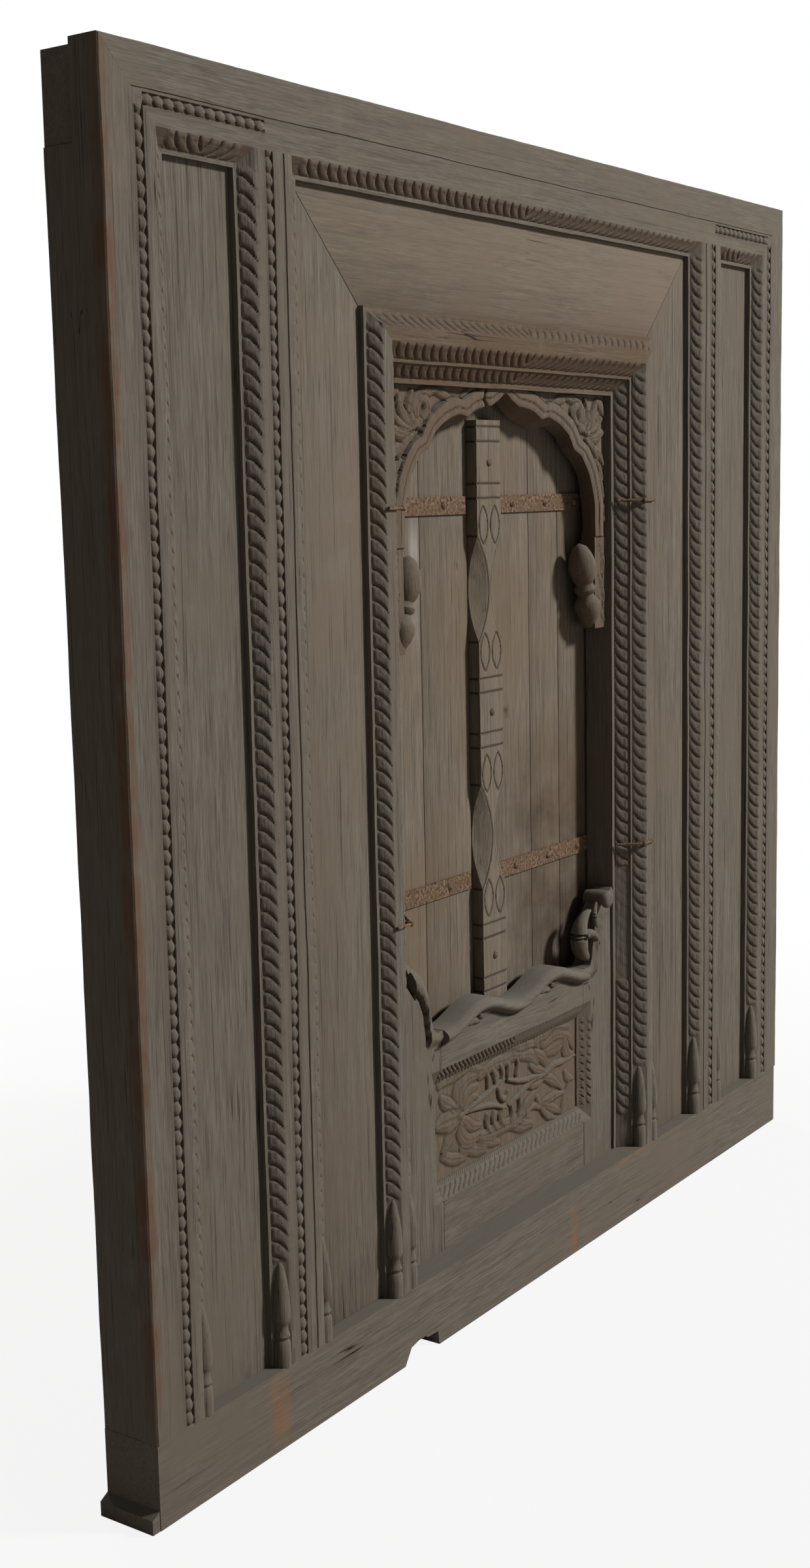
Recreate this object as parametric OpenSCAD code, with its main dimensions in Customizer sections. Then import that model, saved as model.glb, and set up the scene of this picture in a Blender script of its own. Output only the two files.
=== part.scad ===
// Carved wooden jharokha window: side bays, mitred surround, cusped arch, parapet and two plank leaves.
// Millimetres, +Z up, and the carved front faces -Y. The origin is under the middle of the sill.
// Inside the modules y is the depth behind the front plane; behind_front() brings it to the frame.

/* [Overall] */
// Width over the two posts
overall_w = 1894; // [1800:2:2100]
// Height from the underside of the sill to the top of the frame
overall_h = 1830; // [1780:5:2000]
// Depth of the frame from front to back
frame_depth = 92; // [88:1:120]

/* [Frame members] */
// Face width of a post and of the top rail
frame_w = 118; // [105:1:130]
// Depth of the mitred front strip, in front of the lapped lintel
lap_d = 46; // [44:1:55]
// How far the worn lintel stays below the top of the frame
lintel_drop = 8; // [2:1:20]
// How far the lintel's ends stay inside the posts' sides
lintel_inset = 2; // [0.5:0.5:6]
// Face width of an upright between the bays
upright_w = 126; // [115:1:140]
// Clear width of a side bay
bay_w = 133; // [120:1:150]
// Height of the sill
sill_h = 115; // [100:1:140]
// How far the sill's right end stays short of the post
sill_inset = 7; // [0:1:20]
// Length of the horn at the sill's left end
horn_l = 14; // [5:1:40]
// Height of the horn at its tip
horn_h = 20; // [12:1:40]
// Height of the broken notch under the sill
notch_h = 28; // [15:1:40]
// How far the notch is centred outside the left reveal
notch_out = 28; // [0:1:60]

/* [Edge moulding] */
// Width of the roped splay along a member's edge
splay_w = 20; // [16:1:24]
// Depth of the roped splay
splay_d = 15; // [12:1:18]
// Flat fillet inside the splay
fillet_w = 6; // [4:0.5:9]
// Distance of the bead channel from the splay
bead_margin = 20; // [14:1:26]
// Width of the bead channel
bead_w = 16; // [12:1:18]
// Depth of the bead channel
bead_sink = 4; // [2:0.5:6]
// Clearance between a bead and the sides of its channel
bead_gap = 0.5; // [0.2:0.1:1]
// Distance from bead to bead
bead_pitch = 22; // [18:1:30]
// Distance from stroke to stroke of the rope carving
rope_pitch = 22; // [16:1:30]
// Width of one carved stroke
stroke_w = 5; // [2:0.5:6]
// Slant of the carved strokes
rope_slant = 32; // [20:1:45]

/* [Panels] */
// Visible width of the boards beside the window frame
board_w = 144; // [130:1:155]
// Visible height of the board over the window frame
board_h = 150; // [130:1:170]
// Depth of the panels behind the front
panel_recess = 24; // [20:1:28]
// Thickness of a panel
panel_t = 16; // [12:1:18]
// How far a panel's edge sits in its groove
tongue = 8; // [5:1:10]
// Clearance of a panel in its groove
groove_gap = 0.3; // [0.1:0.1:1]

/* [Finials] */
// Height of the bud at the foot of each rope
finial_h = 158; // [130:1:190]
// Radius of the bud
finial_r = 13; // [10:0.5:14]

/* [Window frame] */
// Depth of the fillet along the reveal
reveal_step = 40; // [38:1:44]
// Width of the fillet along the reveal
in_fillet = 8; // [5:1:12]
// Width of the inner roped splay
in_splay = 19; // [15:1:22]
// Width of the fillet between the two splays
mid_fillet = 5; // [3:1:8]
// Height of the step between the two splays
mid_step = 4; // [2:0.5:6]
// Width of the outer roped splay
out_splay = 22; // [18:1:25]
// Depth of the outer roped splay
out_splay_d = 18; // [15:1:20]
// Width of the window frame's flat face
win_flat = 20; // [15:1:30]

/* [Arch] */
// How far the arch boards stay in front of the frame's back
arch_inset = 9; // [7:1:13]
// Thickness of the arch boards
arch_t = 31; // [24:1:34]
// Thickness of the board over the arch's point
arch_crown = 8; // [6:1:12]
// Drop from the window head to the cusp beside the crown, as a percentage of the reveal's half width
crown_drop_pc = 18.1; // [16:0.1:20]
// Half width of the crown up to its cusp, as a percentage of the reveal's half width
crown_half_pc = 40.8; // [38:0.1:43]
// Thickness of the board beside the lowest lobe, as a percentage of the reveal's half width
arch_side_pc = 7.4; // [6.5:0.1:9]
// Drop from the window head to the foot of the arch boards, as a percentage of the reveal's half width
arch_drop_pc = 121.5; // [118:0.5:125]
// Depth of the rebate round the cusped edge
arch_rebate = 9; // [5:1:12]
// Width of the rebate round the cusped edge
arch_band = 15; // [8:1:18]
// Radius of a pendant's bulb, as a percentage of the reveal's half width
pendant_pc = 7.4; // [6:0.1:8]
// Lean of a pendant towards the jamb
pendant_lean = 12; // [8:1:16]
// Height of the relief of the carved leaves
leaf_relief = 6; // [3:0.5:8]

/* [Parapet] */
// How far the parapet stays in front of the frame's back
parapet_inset = 18; // [17:1:22]
// Thickness of the parapet
parapet_t = 30; // [26:1:34]
// Width of a parapet stile
stile_w = 102; // [95:1:112]
// Height of the bottom rail
bottom_rail_h = 107; // [95:1:120]
// Height of the carved field
field_h = 162; // [150:1:175]
// Width of the roped border of the field
border_w = 27; // [20:1:32]
// Depth of the roped border of the field
border_d = 14; // [10:1:16]
// Thickness of the border's inner edge
border_lip = 4; // [4:0.5:6]
// Mean height of the serpentine rail's lower edge above the carved field
wave_rise = 80; // [70:1:95]
// Swing of the serpentine rail
wave_swing = 13; // [8:1:18]
// Height of the roll on the serpentine rail
roll_h = 24; // [18:1:28]
// How far the roll stands in front of the parapet
roll_out = 16; // [10:1:20]
// Height of the stiles above the sill
stile_h = 485; // [465:1:505]
// Radius of the hollow in the shoulder of the stiles
shoulder_r = 58; // [50:1:64]
// Middle radius of the curled leaf on the right stile
curl_r = 26; // [22:1:30]
// Thickness of the curled leaf
curl_t = 26; // [22:1:30]
// Radius of the roll across the tip of the right stile
knob_r = 16; // [12:1:18]

/* [Leaves] */
// Thickness of the leaf planks
plank_t = 22; // [16:1:30]
// How far the leaves reach below the top of the sill
leaf_drop = 11; // [0:1:25]
// How far the leaves reach above the underside of the window head
leaf_rise = 16; // [8:1:30]
// How far the leaves lap behind the jambs
leaf_lap = 19; // [12:1:24]
// How far left of the middle the leaves meet, as a percentage of the reveal's half width
meet_pc = 14.1; // [8:0.1:18]
// Gap between the two leaves
meet_gap = 2; // [1:0.5:4]
// Gap between planks
plank_gap = 1; // [0.5:0.1:3]
// How far left of the middle the left planks meet, as a percentage of the reveal's half width
left_seam_pc = 55.2; // [45:0.1:65]
// Where the right leaf's inner and middle planks meet, as a percentage of the reveal's half width
right_seam_a_pc = 43.6; // [35:0.1:52]
// Where the right leaf's middle and outer planks meet, as a percentage of the reveal's half width
right_seam_b_pc = 72.7; // [65:0.1:82]
// Thickness of a ledge on the back of a leaf
ledge_t = 22; // [15:1:30]
// Height of a ledge
ledge_h = 70; // [50:1:100]
// How far a ledge stays inside the leaf's edges
ledge_inset = 12; // [5:1:30]
// Height of the lower ledges, as a percentage of the reveal's height
ledge_low_pc = 22.6; // [18:0.1:30]
// Height of the upper ledges, as a percentage of the reveal's height
ledge_high_pc = 80.7; // [75:0.1:84]

/* [Astragal] */
// Width of the carved astragal on the right leaf
astragal_w = 70; // [56:1:80]
// Thickness of the astragal
astragal_t = 20; // [14:1:22]
// Width of the lines cut in it
line_w = 4; // [3:0.5:6]
// Depth of these lines
line_d = 4; // [2:0.5:6]
// How far the astragal stops below the window head
astragal_short = 46; // [40:1:55]
// How far the astragal starts above the sill
astragal_foot = 15; // [5:1:60]
// How far in on its face the scoop in each edge reaches between two blocks
scoop_reach = 32; // [24:1:34]
// Width of a petal between a scoop and a block
petal_w = 26; // [20:1:28]
// Heights of the three nailed blocks, as percentages of the reveal's height
block_pc = [37.3, 65, 92.3];
// Height of the narrow band between a block and the petals
band_h = 12; // [8:1:16]
// Height of a nailed block
block_h = 112; // [80:1:130]

/* [Ironwork] */
// Height of an iron strap
strap_h = 28; // [24:1:36]
// Thickness of an iron strap
strap_t = 4; // [3:0.5:4.5]
// Clearance between the straps and the back of the frame
back_gap = 1; // [0.6:0.1:2]
// Height of the lower straps, as a percentage of the reveal's height
strap_low_pc = 46.4; // [44:0.1:49]
// Height of the upper straps, as a percentage of the reveal's height
strap_high_pc = 87.8; // [87:0.1:88.6]
// How far a strap's plate reaches past the planks' edge
strap_past = 3; // [2:0.5:5]
// How far a left strap stops short of the leaf's inner edge
strap_short = 8; // [3:1:20]
// Clearance between the right straps and the astragal
strap_clear = 2; // [1:0.5:6]
// How far the hinge eyes stand outside the reveal
eye_out = 39; // [36:1:44]
// Middle radius of a hinge eye
eye_r = 7; // [6:0.5:8]
// Radius of the iron of a hinge eye
eye_wire = 3; // [2.5:0.1:3.3]
// Clearance of the hinge rod in its eye
hinge_gap = 0.5; // [0.3:0.1:1]
// Clearance between the eye and the strap's tongues
tongue_gap = 0.6; // [0.4:0.1:1]
// Radius of a clinched leg of a hinge pin
leg_r = 2.6; // [2:0.1:3]
// Reach of a clinched leg
leg_l = 36; // [25:1:45]
// Radius of a nail's head
nail_head_r = 6.5; // [5:0.5:9]
// Height of a nail's head
nail_head_h = 4; // [2:0.5:6]
// Radius of a nail
nail_r = 2.5; // [1.5:0.1:3]
// Clearance of nails and pins in their holes
hole_gap = 0.2; // [0.1:0.1:0.5]

/* [Hidden] */
$fn = 48;

wood = "#6b6257";
wood_dark = "#54483d";
wood_brown = "#6a5442";
iron = "#6d4c38";

half_w = overall_w / 2;
post_in = half_w - frame_w;
rail_low = overall_h - frame_w;
upright_out = post_in - bay_w;
centre_half = upright_out - upright_w;
edge_w = fillet_w + splay_w;
bead_r = bead_w / 2 - bead_gap;
past = 1;

// Distances from the reveal across the window frame's face
win_a = in_fillet + in_splay;
win_b = win_a + mid_fillet;
win_c = win_b + out_splay;
win_d = win_c + win_flat;
win_e = win_d + splay_w;
win_w = win_e + fillet_w;
win_out = centre_half - board_w;
win_high = rail_low - board_h;
reveal_half = win_out - win_w;
reveal_top = win_high - win_w;
half_pc = reveal_half / 100;
tall_pc = reveal_top / 100;
in_splay_front = out_splay_d + mid_step;
in_splay_d = reveal_step - in_splay_front;
rope_foot = sill_h + finial_h;

arch_front = frame_depth - arch_inset - arch_t;
parapet_front = frame_depth - parapet_inset - parapet_t;
field_t = parapet_t - border_d - border_lip;
field_low = sill_h + bottom_rail_h;
field_high = field_low + field_h;
wave_z = field_high + wave_rise;
stile_half = reveal_half - stile_w;
stile_top = sill_h + stile_h;

leaf_out = reveal_half + leaf_lap;
leaf_low = sill_h - leaf_drop;
leaf_high = reveal_top + leaf_rise;
meet_x = -meet_pc * half_pc;
left_seam = -left_seam_pc * half_pc;
right_seam_a = right_seam_a_pc * half_pc;
right_seam_b = right_seam_b_pc * half_pc;
ledge_low_z = ledge_low_pc * tall_pc;
ledge_high_z = ledge_high_pc * tall_pc;
strap_front = frame_depth + back_gap;
plank_front = strap_front + strap_t;
plank_back = plank_front + plank_t;
left_leaf_x = [-leaf_out, left_seam - plank_gap / 2, left_seam + plank_gap / 2, meet_x - meet_gap / 2];
right_leaf_in = meet_x + meet_gap / 2;
astragal_x = right_leaf_in + astragal_w / 2;
astragal_front = plank_front - astragal_t;
astragal_low = sill_h + astragal_foot;
astragal_high = reveal_top - astragal_short;
block_z = [for (b = block_pc) b * tall_pc];
strap_low_z = strap_low_pc * tall_pc;
strap_high_z = strap_high_pc * tall_pc;
eye_x = reveal_half + eye_out;
eye_y = strap_front + eye_r + eye_wire;
rod_r = eye_r - eye_wire - hinge_gap;
tongue_low = eye_wire + tongue_gap;
shank_r = 1.07 * eye_wire;
strap_levels = [strap_low_z, strap_high_z];
left_strap_end = meet_x - meet_gap / 2 - strap_short;
right_strap_end = right_leaf_in + astragal_w + strap_clear;
left_nails_x = [(left_seam - leaf_out) / 2, (left_seam + left_strap_end) / 2];
right_nails_x = [
    (right_strap_end + right_seam_a) / 2, (right_seam_a + right_seam_b) / 2, (right_seam_b + leaf_out) / 2
];

// Moves what is built behind the plane y = 0 so that the frame's middle depth lies on the origin
module behind_front() translate([0, -frame_depth / 2, 0]) children();

// Extrudes a plan in x and depth upwards from z0 to z1
module upwards(z0, z1) translate([0, 0, z0]) linear_extrude(z1 - z0) children();

// Extrudes a face drawn in x and z from depth y0 back to depth y1
module backwards(y0, y1) translate([0, y1, 0]) rotate([90, 0, 0]) linear_extrude(y1 - y0) children();

// Extrudes a section drawn in depth and z along x
module sideways(x0, x1) translate([x0, 0, 0]) rotate([90, 0, 90]) linear_extrude(x1 - x0) children();

module box(x0, x1, y0, y1, z0, z1) translate([x0, y0, z0]) cube([x1 - x0, y1 - y0, z1 - z0]);

module left_of(side) mirror([side < 0 ? 1 : 0, 0, 0]) children();

// Recess of a bay: a splay round its edge, a fillet, then a straight side as deep as the panel
function recess_reach(w, d, f) = [[w + f, -past], [w + f, 0], [f, d], [0, d], [0, frame_depth + past]];

module bay_recess(x0, x1, z0, z1) {
    reach = recess_reach(splay_w, splay_d, fillet_w);
    intersection() {
        upwards(z0 - past, z1 + edge_w + past)
            polygon(concat([for (r = reach) [x0 - r[0], r[1]]],
                [for (i = [len(reach) - 1:-1:0]) [x1 + reach[i][0], reach[i][1]]]));
        sideways(x0 - edge_w - past, x1 + edge_w + past)
            polygon(concat([[-past, z0 - past]], [for (r = reach) [r[1], z1 + r[0]]],
                [[frame_depth + past, z0 - past]]));
    }
}

// Groove round a bay that takes the edges of its panel
module bay_groove(x0, x1, z1)
    box(x0 - tongue, x1 + tongue, panel_recess, panel_recess + panel_t + groove_gap,
        sill_h - past, z1 + tongue);

module side_bay_cut() {
    bay_recess(upright_out, post_in, sill_h, rail_low);
    bay_groove(upright_out, post_in, rail_low);
    bead_channels();
}

module centre_bay_cut() {
    bay_recess(-centre_half, centre_half, sill_h, rail_low);
    bay_groove(-centre_half, centre_half, rail_low);
}

// Bead channel round three sides of the right bay
bead_in = edge_w + bead_margin;
bead_out = bead_in + bead_w;
module bead_channels() {
    box(upright_out - bead_out, upright_out - bead_in, -past, bead_sink, sill_h - past, rail_low + bead_out);
    box(post_in + bead_in, post_in + bead_out, -past, bead_sink, sill_h - past, rail_low + bead_out);
    box(upright_out - bead_in - past, post_in + bead_in + past, -past, bead_sink,
        rail_low + bead_in, rail_low + bead_out);
}

// A row of beads along +z, spread evenly over its length
module bead_row(length) {
    count = floor(length / bead_pitch);
    for (i = [0:count - 1])
        translate([0, bead_r, length * (i + 0.5) / count]) sphere(bead_r);
}

// Slanted strokes of a rope along +z on a splay that rises from depth y0 + d to y0 over the width w;
// strokes near the places listed in plain are left out
module rope_strokes(length, w, d, y0 = 0, plain = []) {
    count = floor(length / rope_pitch);
    face = sqrt(w * w + d * d);
    stroke_l = (face - stroke_w) / cos(rope_slant);
    for (i = [0:count - 1]) {
        at = length * (i + 0.5) / count;
        near = [for (p = plain) if (abs(p - at) < rope_pitch) p];
        if (len(near) == 0)
            translate([w / 2, y0 + d / 2, at])
                rotate([0, 0, -atan2(d, w)]) rotate([0, rope_slant, 0]) rotate([45, 0, 0])
                    cube([stroke_l, stroke_w, stroke_w], center = true);
    }
}

// Swaps x and z, so that what runs upwards runs sideways
module laid_down() mirror([1, 0, -1]) children();

// A rope along +x whose strokes turn over at its middle
module rope_across(length, w, d, y0 = 0) laid_down() {
    rope_strokes(length / 2, w, d, y0);
    translate([0, 0, length]) mirror([0, 0, 1]) rope_strokes(length / 2, w, d, y0);
}

// Bud at the foot of a rope: a square base, a ring, a collar and a pointed bullet
module finial() {
    base_h = 0.22 * finial_h;
    ring_h = 0.32 * finial_h;
    collar_h = 0.42 * finial_h;
    bullet_h = 0.66 * finial_h;
    translate([-finial_r, -finial_r, 0]) cube([2 * finial_r, 2 * finial_r, base_h]);
    rotate_extrude()
        polygon([[0, 0], [finial_r * 0.85, 0], [finial_r * 0.85, base_h], [finial_r * 0.7, 1.1 * base_h],
            [finial_r * 0.95, (base_h + ring_h) / 2], [finial_r * 0.8, ring_h],
            [finial_r * 0.75, 0.9 * collar_h], [finial_r, collar_h], [finial_r * 0.92, bullet_h],
            [finial_r * 0.6, 0.85 * finial_h], [0, finial_h]]);
}

// Where a bud stands on a splay whose inner edge is at x, on the sill
module finial_at(x, w, d) translate([x + w / 2, d / 2 + 3, sill_h]) finial();

// Half of the mitre plane at a top corner of the frame: the part above the corner's diagonal
module above_corner(x, z) backwards(-past, frame_depth + past)
    polygon([[x - past, z - past], [x + frame_w + past, z + frame_w + past], [x - past, z + frame_w + past]]);

// Post at the right: the front strip runs up to the mitre, the rest stops under the lintel
module post() {
    rope_l = rail_low - rope_foot;
    difference() {
        union() {
            box(post_in, half_w, 0, lap_d, sill_h, overall_h);
            box(post_in, half_w, lap_d, frame_depth, sill_h, rail_low);
        }
        side_bay_cut();
        above_corner(post_in, rail_low);
        translate([post_in + fillet_w, 0, rope_foot]) rope_strokes(rope_l, splay_w, splay_d);
    }
    translate([post_in + (bead_in + bead_out) / 2, 0, sill_h]) bead_row(rail_low + bead_in - sill_h);
    finial_at(post_in + fillet_w, splay_w, splay_d);
}

module left_post() color(wood) behind_front() left_of(-1) post();

module right_post() color(wood) behind_front() post();

// Carving of the top rail over the right bay
module rail_bay_rope() {
    length = post_in - upright_out;
    translate([upright_out, 0, rail_low + fillet_w]) rope_across(length, splay_w, splay_d);
}

module rail_bay_beads() {
    length = post_in - upright_out + 2 * bead_in;
    translate([upright_out - bead_in, 0, rail_low + (bead_in + bead_out) / 2]) laid_down() bead_row(length);
}

module top_rail() color(wood) behind_front() {
    lintel_half = half_w - lintel_inset;
    difference() {
        union() {
            box(-half_w, half_w, 0, lap_d, rail_low, overall_h);
            box(-lintel_half, lintel_half, lap_d, frame_depth, rail_low, overall_h - lintel_drop);
        }
        centre_bay_cut();
        translate([-centre_half, 0, rail_low + fillet_w]) rope_across(2 * centre_half, splay_w, splay_d);
        for (side = [-1, 1]) left_of(side) {
            side_bay_cut();
            rail_bay_rope();
            difference() {
                box(post_in, half_w + past, -past, lap_d, rail_low - past, overall_h + past);
                above_corner(post_in, rail_low);
            }
        }
    }
    for (side = [-1, 1]) left_of(side) rail_bay_beads();
}

// Beam with a short horn at the left end and a broken notch in its underside
module sill() color(wood) behind_front() difference() {
    union() {
        box(-half_w, half_w - sill_inset, 0, frame_depth, 0, sill_h);
        backwards(past, frame_depth)
            polygon([[past - half_w, 0], [-half_w - horn_l, 0], [-half_w - horn_l, horn_h],
                [past - half_w, 1.4 * horn_h]]);
    }
    translate([-reveal_half - notch_out, 0, 0]) backwards(-past, frame_depth + past)
        polygon([[-1.64 * notch_h, -past], [-1.64 * notch_h, 0], [-1.04 * notch_h, 0.85 * notch_h],
            [-0.36 * notch_h, notch_h], [0.25 * notch_h, notch_h], [0.57 * notch_h, 0.85 * notch_h],
            [1.53 * notch_h, 0.8 * notch_h], [1.64 * notch_h, 0], [1.64 * notch_h, -past]]);
}

// Upright at the right, between the side bay and the centre bay
module upright() {
    rope_l = rail_low - rope_foot;
    difference() {
        box(centre_half, upright_out, 0, frame_depth, sill_h, rail_low);
        side_bay_cut();
        centre_bay_cut();
        translate([centre_half + fillet_w, 0, rope_foot]) rope_strokes(rope_l, splay_w, splay_d);
        translate([upright_out - fillet_w, 0, rope_foot]) mirror([1, 0, 0])
            rope_strokes(rope_l, splay_w, splay_d);
    }
    translate([upright_out - (bead_in + bead_out) / 2, 0, sill_h]) bead_row(rail_low - sill_h);
    finial_at(centre_half + fillet_w, splay_w, splay_d);
    finial_at(upright_out - edge_w, splay_w, splay_d);
}

module left_upright() color(wood) behind_front() left_of(-1) upright();

module right_upright() color(wood) behind_front() upright();

module bay_panel() box(upright_out - tongue + groove_gap, post_in + tongue - groove_gap,
    panel_recess, panel_recess + panel_t, sill_h, rail_low + tongue - groove_gap);

module left_bay_panel() color(wood) behind_front() left_of(-1) bay_panel();

module right_bay_panel() color(wood) behind_front() bay_panel();

// Corners of the surround boards, with their tongues
board_out = centre_half + tongue - groove_gap;
board_high = rail_low + tongue - groove_gap;
board_in = win_out - tongue + groove_gap;
board_low = win_high - tongue + groove_gap;

module surround_board() backwards(panel_recess, panel_recess + panel_t)
    polygon([[board_in, sill_h], [board_out, sill_h], [board_out, board_high], [board_in, board_low]]);

module surround_left_board() color(wood_dark) behind_front() left_of(-1) surround_board();

module surround_right_board() color(wood_dark) behind_front() surround_board();

module surround_top_board() color(wood_dark) behind_front()
    backwards(panel_recess, panel_recess + panel_t)
        polygon([[-board_in, board_low], [board_in, board_low], [board_out, board_high],
            [-board_out, board_high]]);

// Section of the window frame: distance outwards from the reveal, and depth
win_section = [
    [0, frame_depth], [0, reveal_step], [in_fillet, reveal_step], [win_a, in_splay_front],
    [win_a, out_splay_d], [win_b, out_splay_d], [win_c, 0], [win_d, 0], [win_e, splay_d],
    [win_w, splay_d], [win_w, panel_recess], [win_w - tongue, panel_recess],
    [win_w - tongue, panel_recess + panel_t + groove_gap], [win_w, panel_recess + panel_t + groove_gap],
    [win_w, frame_depth]
];

// The window frame's three ropes along +z, with the reveal at x = 0
module window_ropes(low, length, plain = []) translate([0, 0, low]) {
    translate([in_fillet, 0, 0]) rope_strokes(length, in_splay, in_splay_d, in_splay_front);
    translate([win_b, 0, 0]) rope_strokes(length, out_splay, out_splay_d, 0, plain);
    translate([win_e, 0, 0]) mirror([1, 0, 0]) rope_strokes(length, splay_w, splay_d);
}

module above_window_corner() backwards(-past, frame_depth + past)
    polygon([[reveal_half - past, reveal_top - past], [win_out + past, win_high + past],
        [reveal_half - past, win_high + past]]);

// Holes in a jamb for the shanks of the hinge pins
module pin_holes() for (z = strap_levels)
    translate([eye_x, -past, z]) rotate([-90, 0, 0])
        cylinder(r = shank_r + hole_gap, h = frame_depth + 2 * past);

module jamb() {
    difference() {
        difference() {
            translate([reveal_half, 0, 0]) upwards(sill_h, win_high) polygon(win_section);
            above_window_corner();
            translate([reveal_half, 0, 0])
                window_ropes(rope_foot, reveal_top - rope_foot, [for (z = strap_levels) z - rope_foot]);
        }
        pin_holes();
    }
    finial_at(reveal_half + win_b, out_splay, out_splay_d);
    finial_at(reveal_half + win_d, splay_w, splay_d);
}

module window_left_jamb() color(wood) behind_front() left_of(-1) jamb();

module window_right_jamb() color(wood) behind_front() jamb();

module window_head() color(wood_brown) behind_front() difference() {
    translate([-win_out, 0, reveal_top]) laid_down() upwards(0, 2 * win_out) polygon(win_section);
    for (side = [-1, 1]) left_of(side) {
        difference() {
            box(reveal_half - past, win_out + past, -past, frame_depth + past,
                reveal_top - past, win_high + past);
            above_window_corner();
        }
        translate([0, 0, reveal_top]) laid_down() window_ropes(0, reveal_half);
    }
}

// The crown's edge is an arc of the board that hangs from the arch's point down to the first cusp
crown_z = reveal_top - arch_crown;
cusp_z = reveal_top - crown_drop_pc * half_pc;
crown_half = crown_half_pc * half_pc;
crown_chord = norm([crown_half, crown_z - cusp_z]);
crown_r = 1.42 * crown_chord;
crown_lift = sqrt(crown_r * crown_r - crown_chord * crown_chord / 4);
crown_mid = [
    crown_half / 2 + crown_lift * (crown_z - cusp_z) / crown_chord,
    (crown_z + cusp_z) / 2 + crown_lift * crown_half / crown_chord
];

// Centres and radii of the lobes at the right, from the first cusp down to the springing
lobe_out = reveal_half - arch_side_pc * half_pc;
lobes = [
    [crown_half + 9.8 * half_pc, cusp_z - 23 * half_pc, 25.2 * half_pc],
    [lobe_out - 31.6 * half_pc, cusp_z - 38.3 * half_pc, 30.1 * half_pc],
    [lobe_out - 17.5 * half_pc, cusp_z - 45.4 * half_pc, 17.5 * half_pc]
];
spring_z = lobes[2][1] - 15.3 * half_pc;
arch_foot = reveal_top - arch_drop_pc * half_pc;
pendant_r = pendant_pc * half_pc;

// Opening under the arch at the right, grown by a margin
module arch_opening(grow) {
    for (l = lobes) translate([l[0], l[1]]) circle(l[2] + grow);
    difference() {
        polygon([[-past, arch_foot - past], [lobe_out - 5 * half_pc, arch_foot - past],
            [lobe_out - 5 * half_pc, spring_z],
            [lobes[2][0], lobes[2][1]], [lobes[0][0], lobes[0][1] + lobes[0][2] / 2],
            [crown_half, cusp_z + grow], [0, crown_z + grow + past], [-past, crown_z + grow + past]]);
        translate(crown_mid) circle(crown_r - grow);
    }
}

// Leaves that spread from one point begin this far from it, so that they stay apart
leaf_root = 3.1 * half_pc;

// A pointed leaf of the carving, from its foot along +x in the board's face
module leaf_shape(length, width) {
    r = (length * length + width * width) / (4 * width);
    intersection() {
        translate([length / 2, r - width / 2]) circle(r);
        translate([length / 2, width / 2 - r]) circle(r);
    }
}

module leaf_on(x, z, turn, length, width, y) translate([x, y, z]) rotate([0, -turn, 0])
    translate([leaf_root, 0, 0]) backwards(0, leaf_relief) leaf_shape(length, width);

// Carved leaves in the corner of the right board
module arch_leaves() {
    y = arch_front - leaf_relief / 2;
    corner_x = reveal_half - 8 * half_pc;
    corner_z = reveal_top - 7.4 * half_pc;
    for (t = [170, 195, 220, 245, 268])
        leaf_on(corner_x, corner_z, t, (t == 220 ? 16 : 18.4) * half_pc, 4.6 * half_pc, y);
    for (t = [168, 192])
        leaf_on(corner_x - 26.4 * half_pc, corner_z + 1.2 * half_pc, t, 12.3 * half_pc, 3.4 * half_pc, y);
}

// Pendant at the foot of a board, turned from its tip upwards: a bud, a neck with a ring and a bulb
module pendant() {
    turned = [[0, 0], [0.45, 0.35], [0.85, 1.1], [0.95, 1.7], [0.8, 2.2], [0.6, 2.7], [0.78, 3], [0.62, 3.35],
        [0.9, 3.9], [1, 4.5], [0.92, 5.1], [0.6, 5.8], [0, 6.3]];
    translate([reveal_half - 1.1 * pendant_r, arch_front + 0.4 * arch_t, arch_foot])
        rotate([0, -pendant_lean, 0]) rotate_extrude() polygon(pendant_r * turned);
}

// Arch board at the right
module spandrel() {
    difference() {
        box(0, reveal_half, arch_front, arch_front + arch_t, arch_foot, reveal_top);
        backwards(arch_front - past, arch_front + arch_t + past) arch_opening(0);
        backwards(arch_front - past, arch_front + arch_rebate) arch_opening(arch_band);
    }
    arch_leaves();
    pendant();
}

module arch_left_spandrel() color(wood_brown) behind_front() left_of(-1) spandrel();

module arch_right_spandrel() color(wood_brown) behind_front() spandrel();

// Recess of the carved field: a roped splay all round
module field_recess() {
    reach = [[border_w, -past], [border_w, 0], [0, border_d], [0, parapet_t + past]];
    mid_z = (field_low + field_high) / 2;
    half_z = (field_high - field_low) / 2;
    translate([0, parapet_front, 0]) intersection() {
        upwards(field_low - border_w - past, field_high + border_w + past)
            polygon(concat([for (r = reach) [-stile_half - r[0], r[1]]],
                [for (i = [len(reach) - 1:-1:0]) [stile_half + reach[i][0], reach[i][1]]]));
        sideways(-stile_half - border_w - past, stile_half + border_w + past)
            polygon(concat([for (r = reach) [r[1], mid_z + half_z + r[0]]],
                [for (i = [len(reach) - 1:-1:0]) [reach[i][1], mid_z - half_z - reach[i][0]]]));
    }
}

// Groove behind the border for the carved panel
field_groove = parapet_front + border_d + border_lip;
module field_slot() box(-stile_half - tongue, stile_half + tongue, field_groove,
    parapet_front + parapet_t + past, field_low - tongue, field_high + tongue);

module field_ropes() translate([0, parapet_front, 0]) {
    for (side = [-1, 1]) left_of(side)
        translate([stile_half, 0, field_low]) rope_strokes(field_high - field_low, border_w, border_d);
    translate([-stile_half, 0, field_high]) rope_across(2 * stile_half, border_w, border_d);
    translate([-stile_half, 0, field_low]) mirror([0, 0, 1]) rope_across(2 * stile_half, border_w, border_d);
}

module field_cut() {
    field_recess();
    field_slot();
    field_ropes();
}

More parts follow.
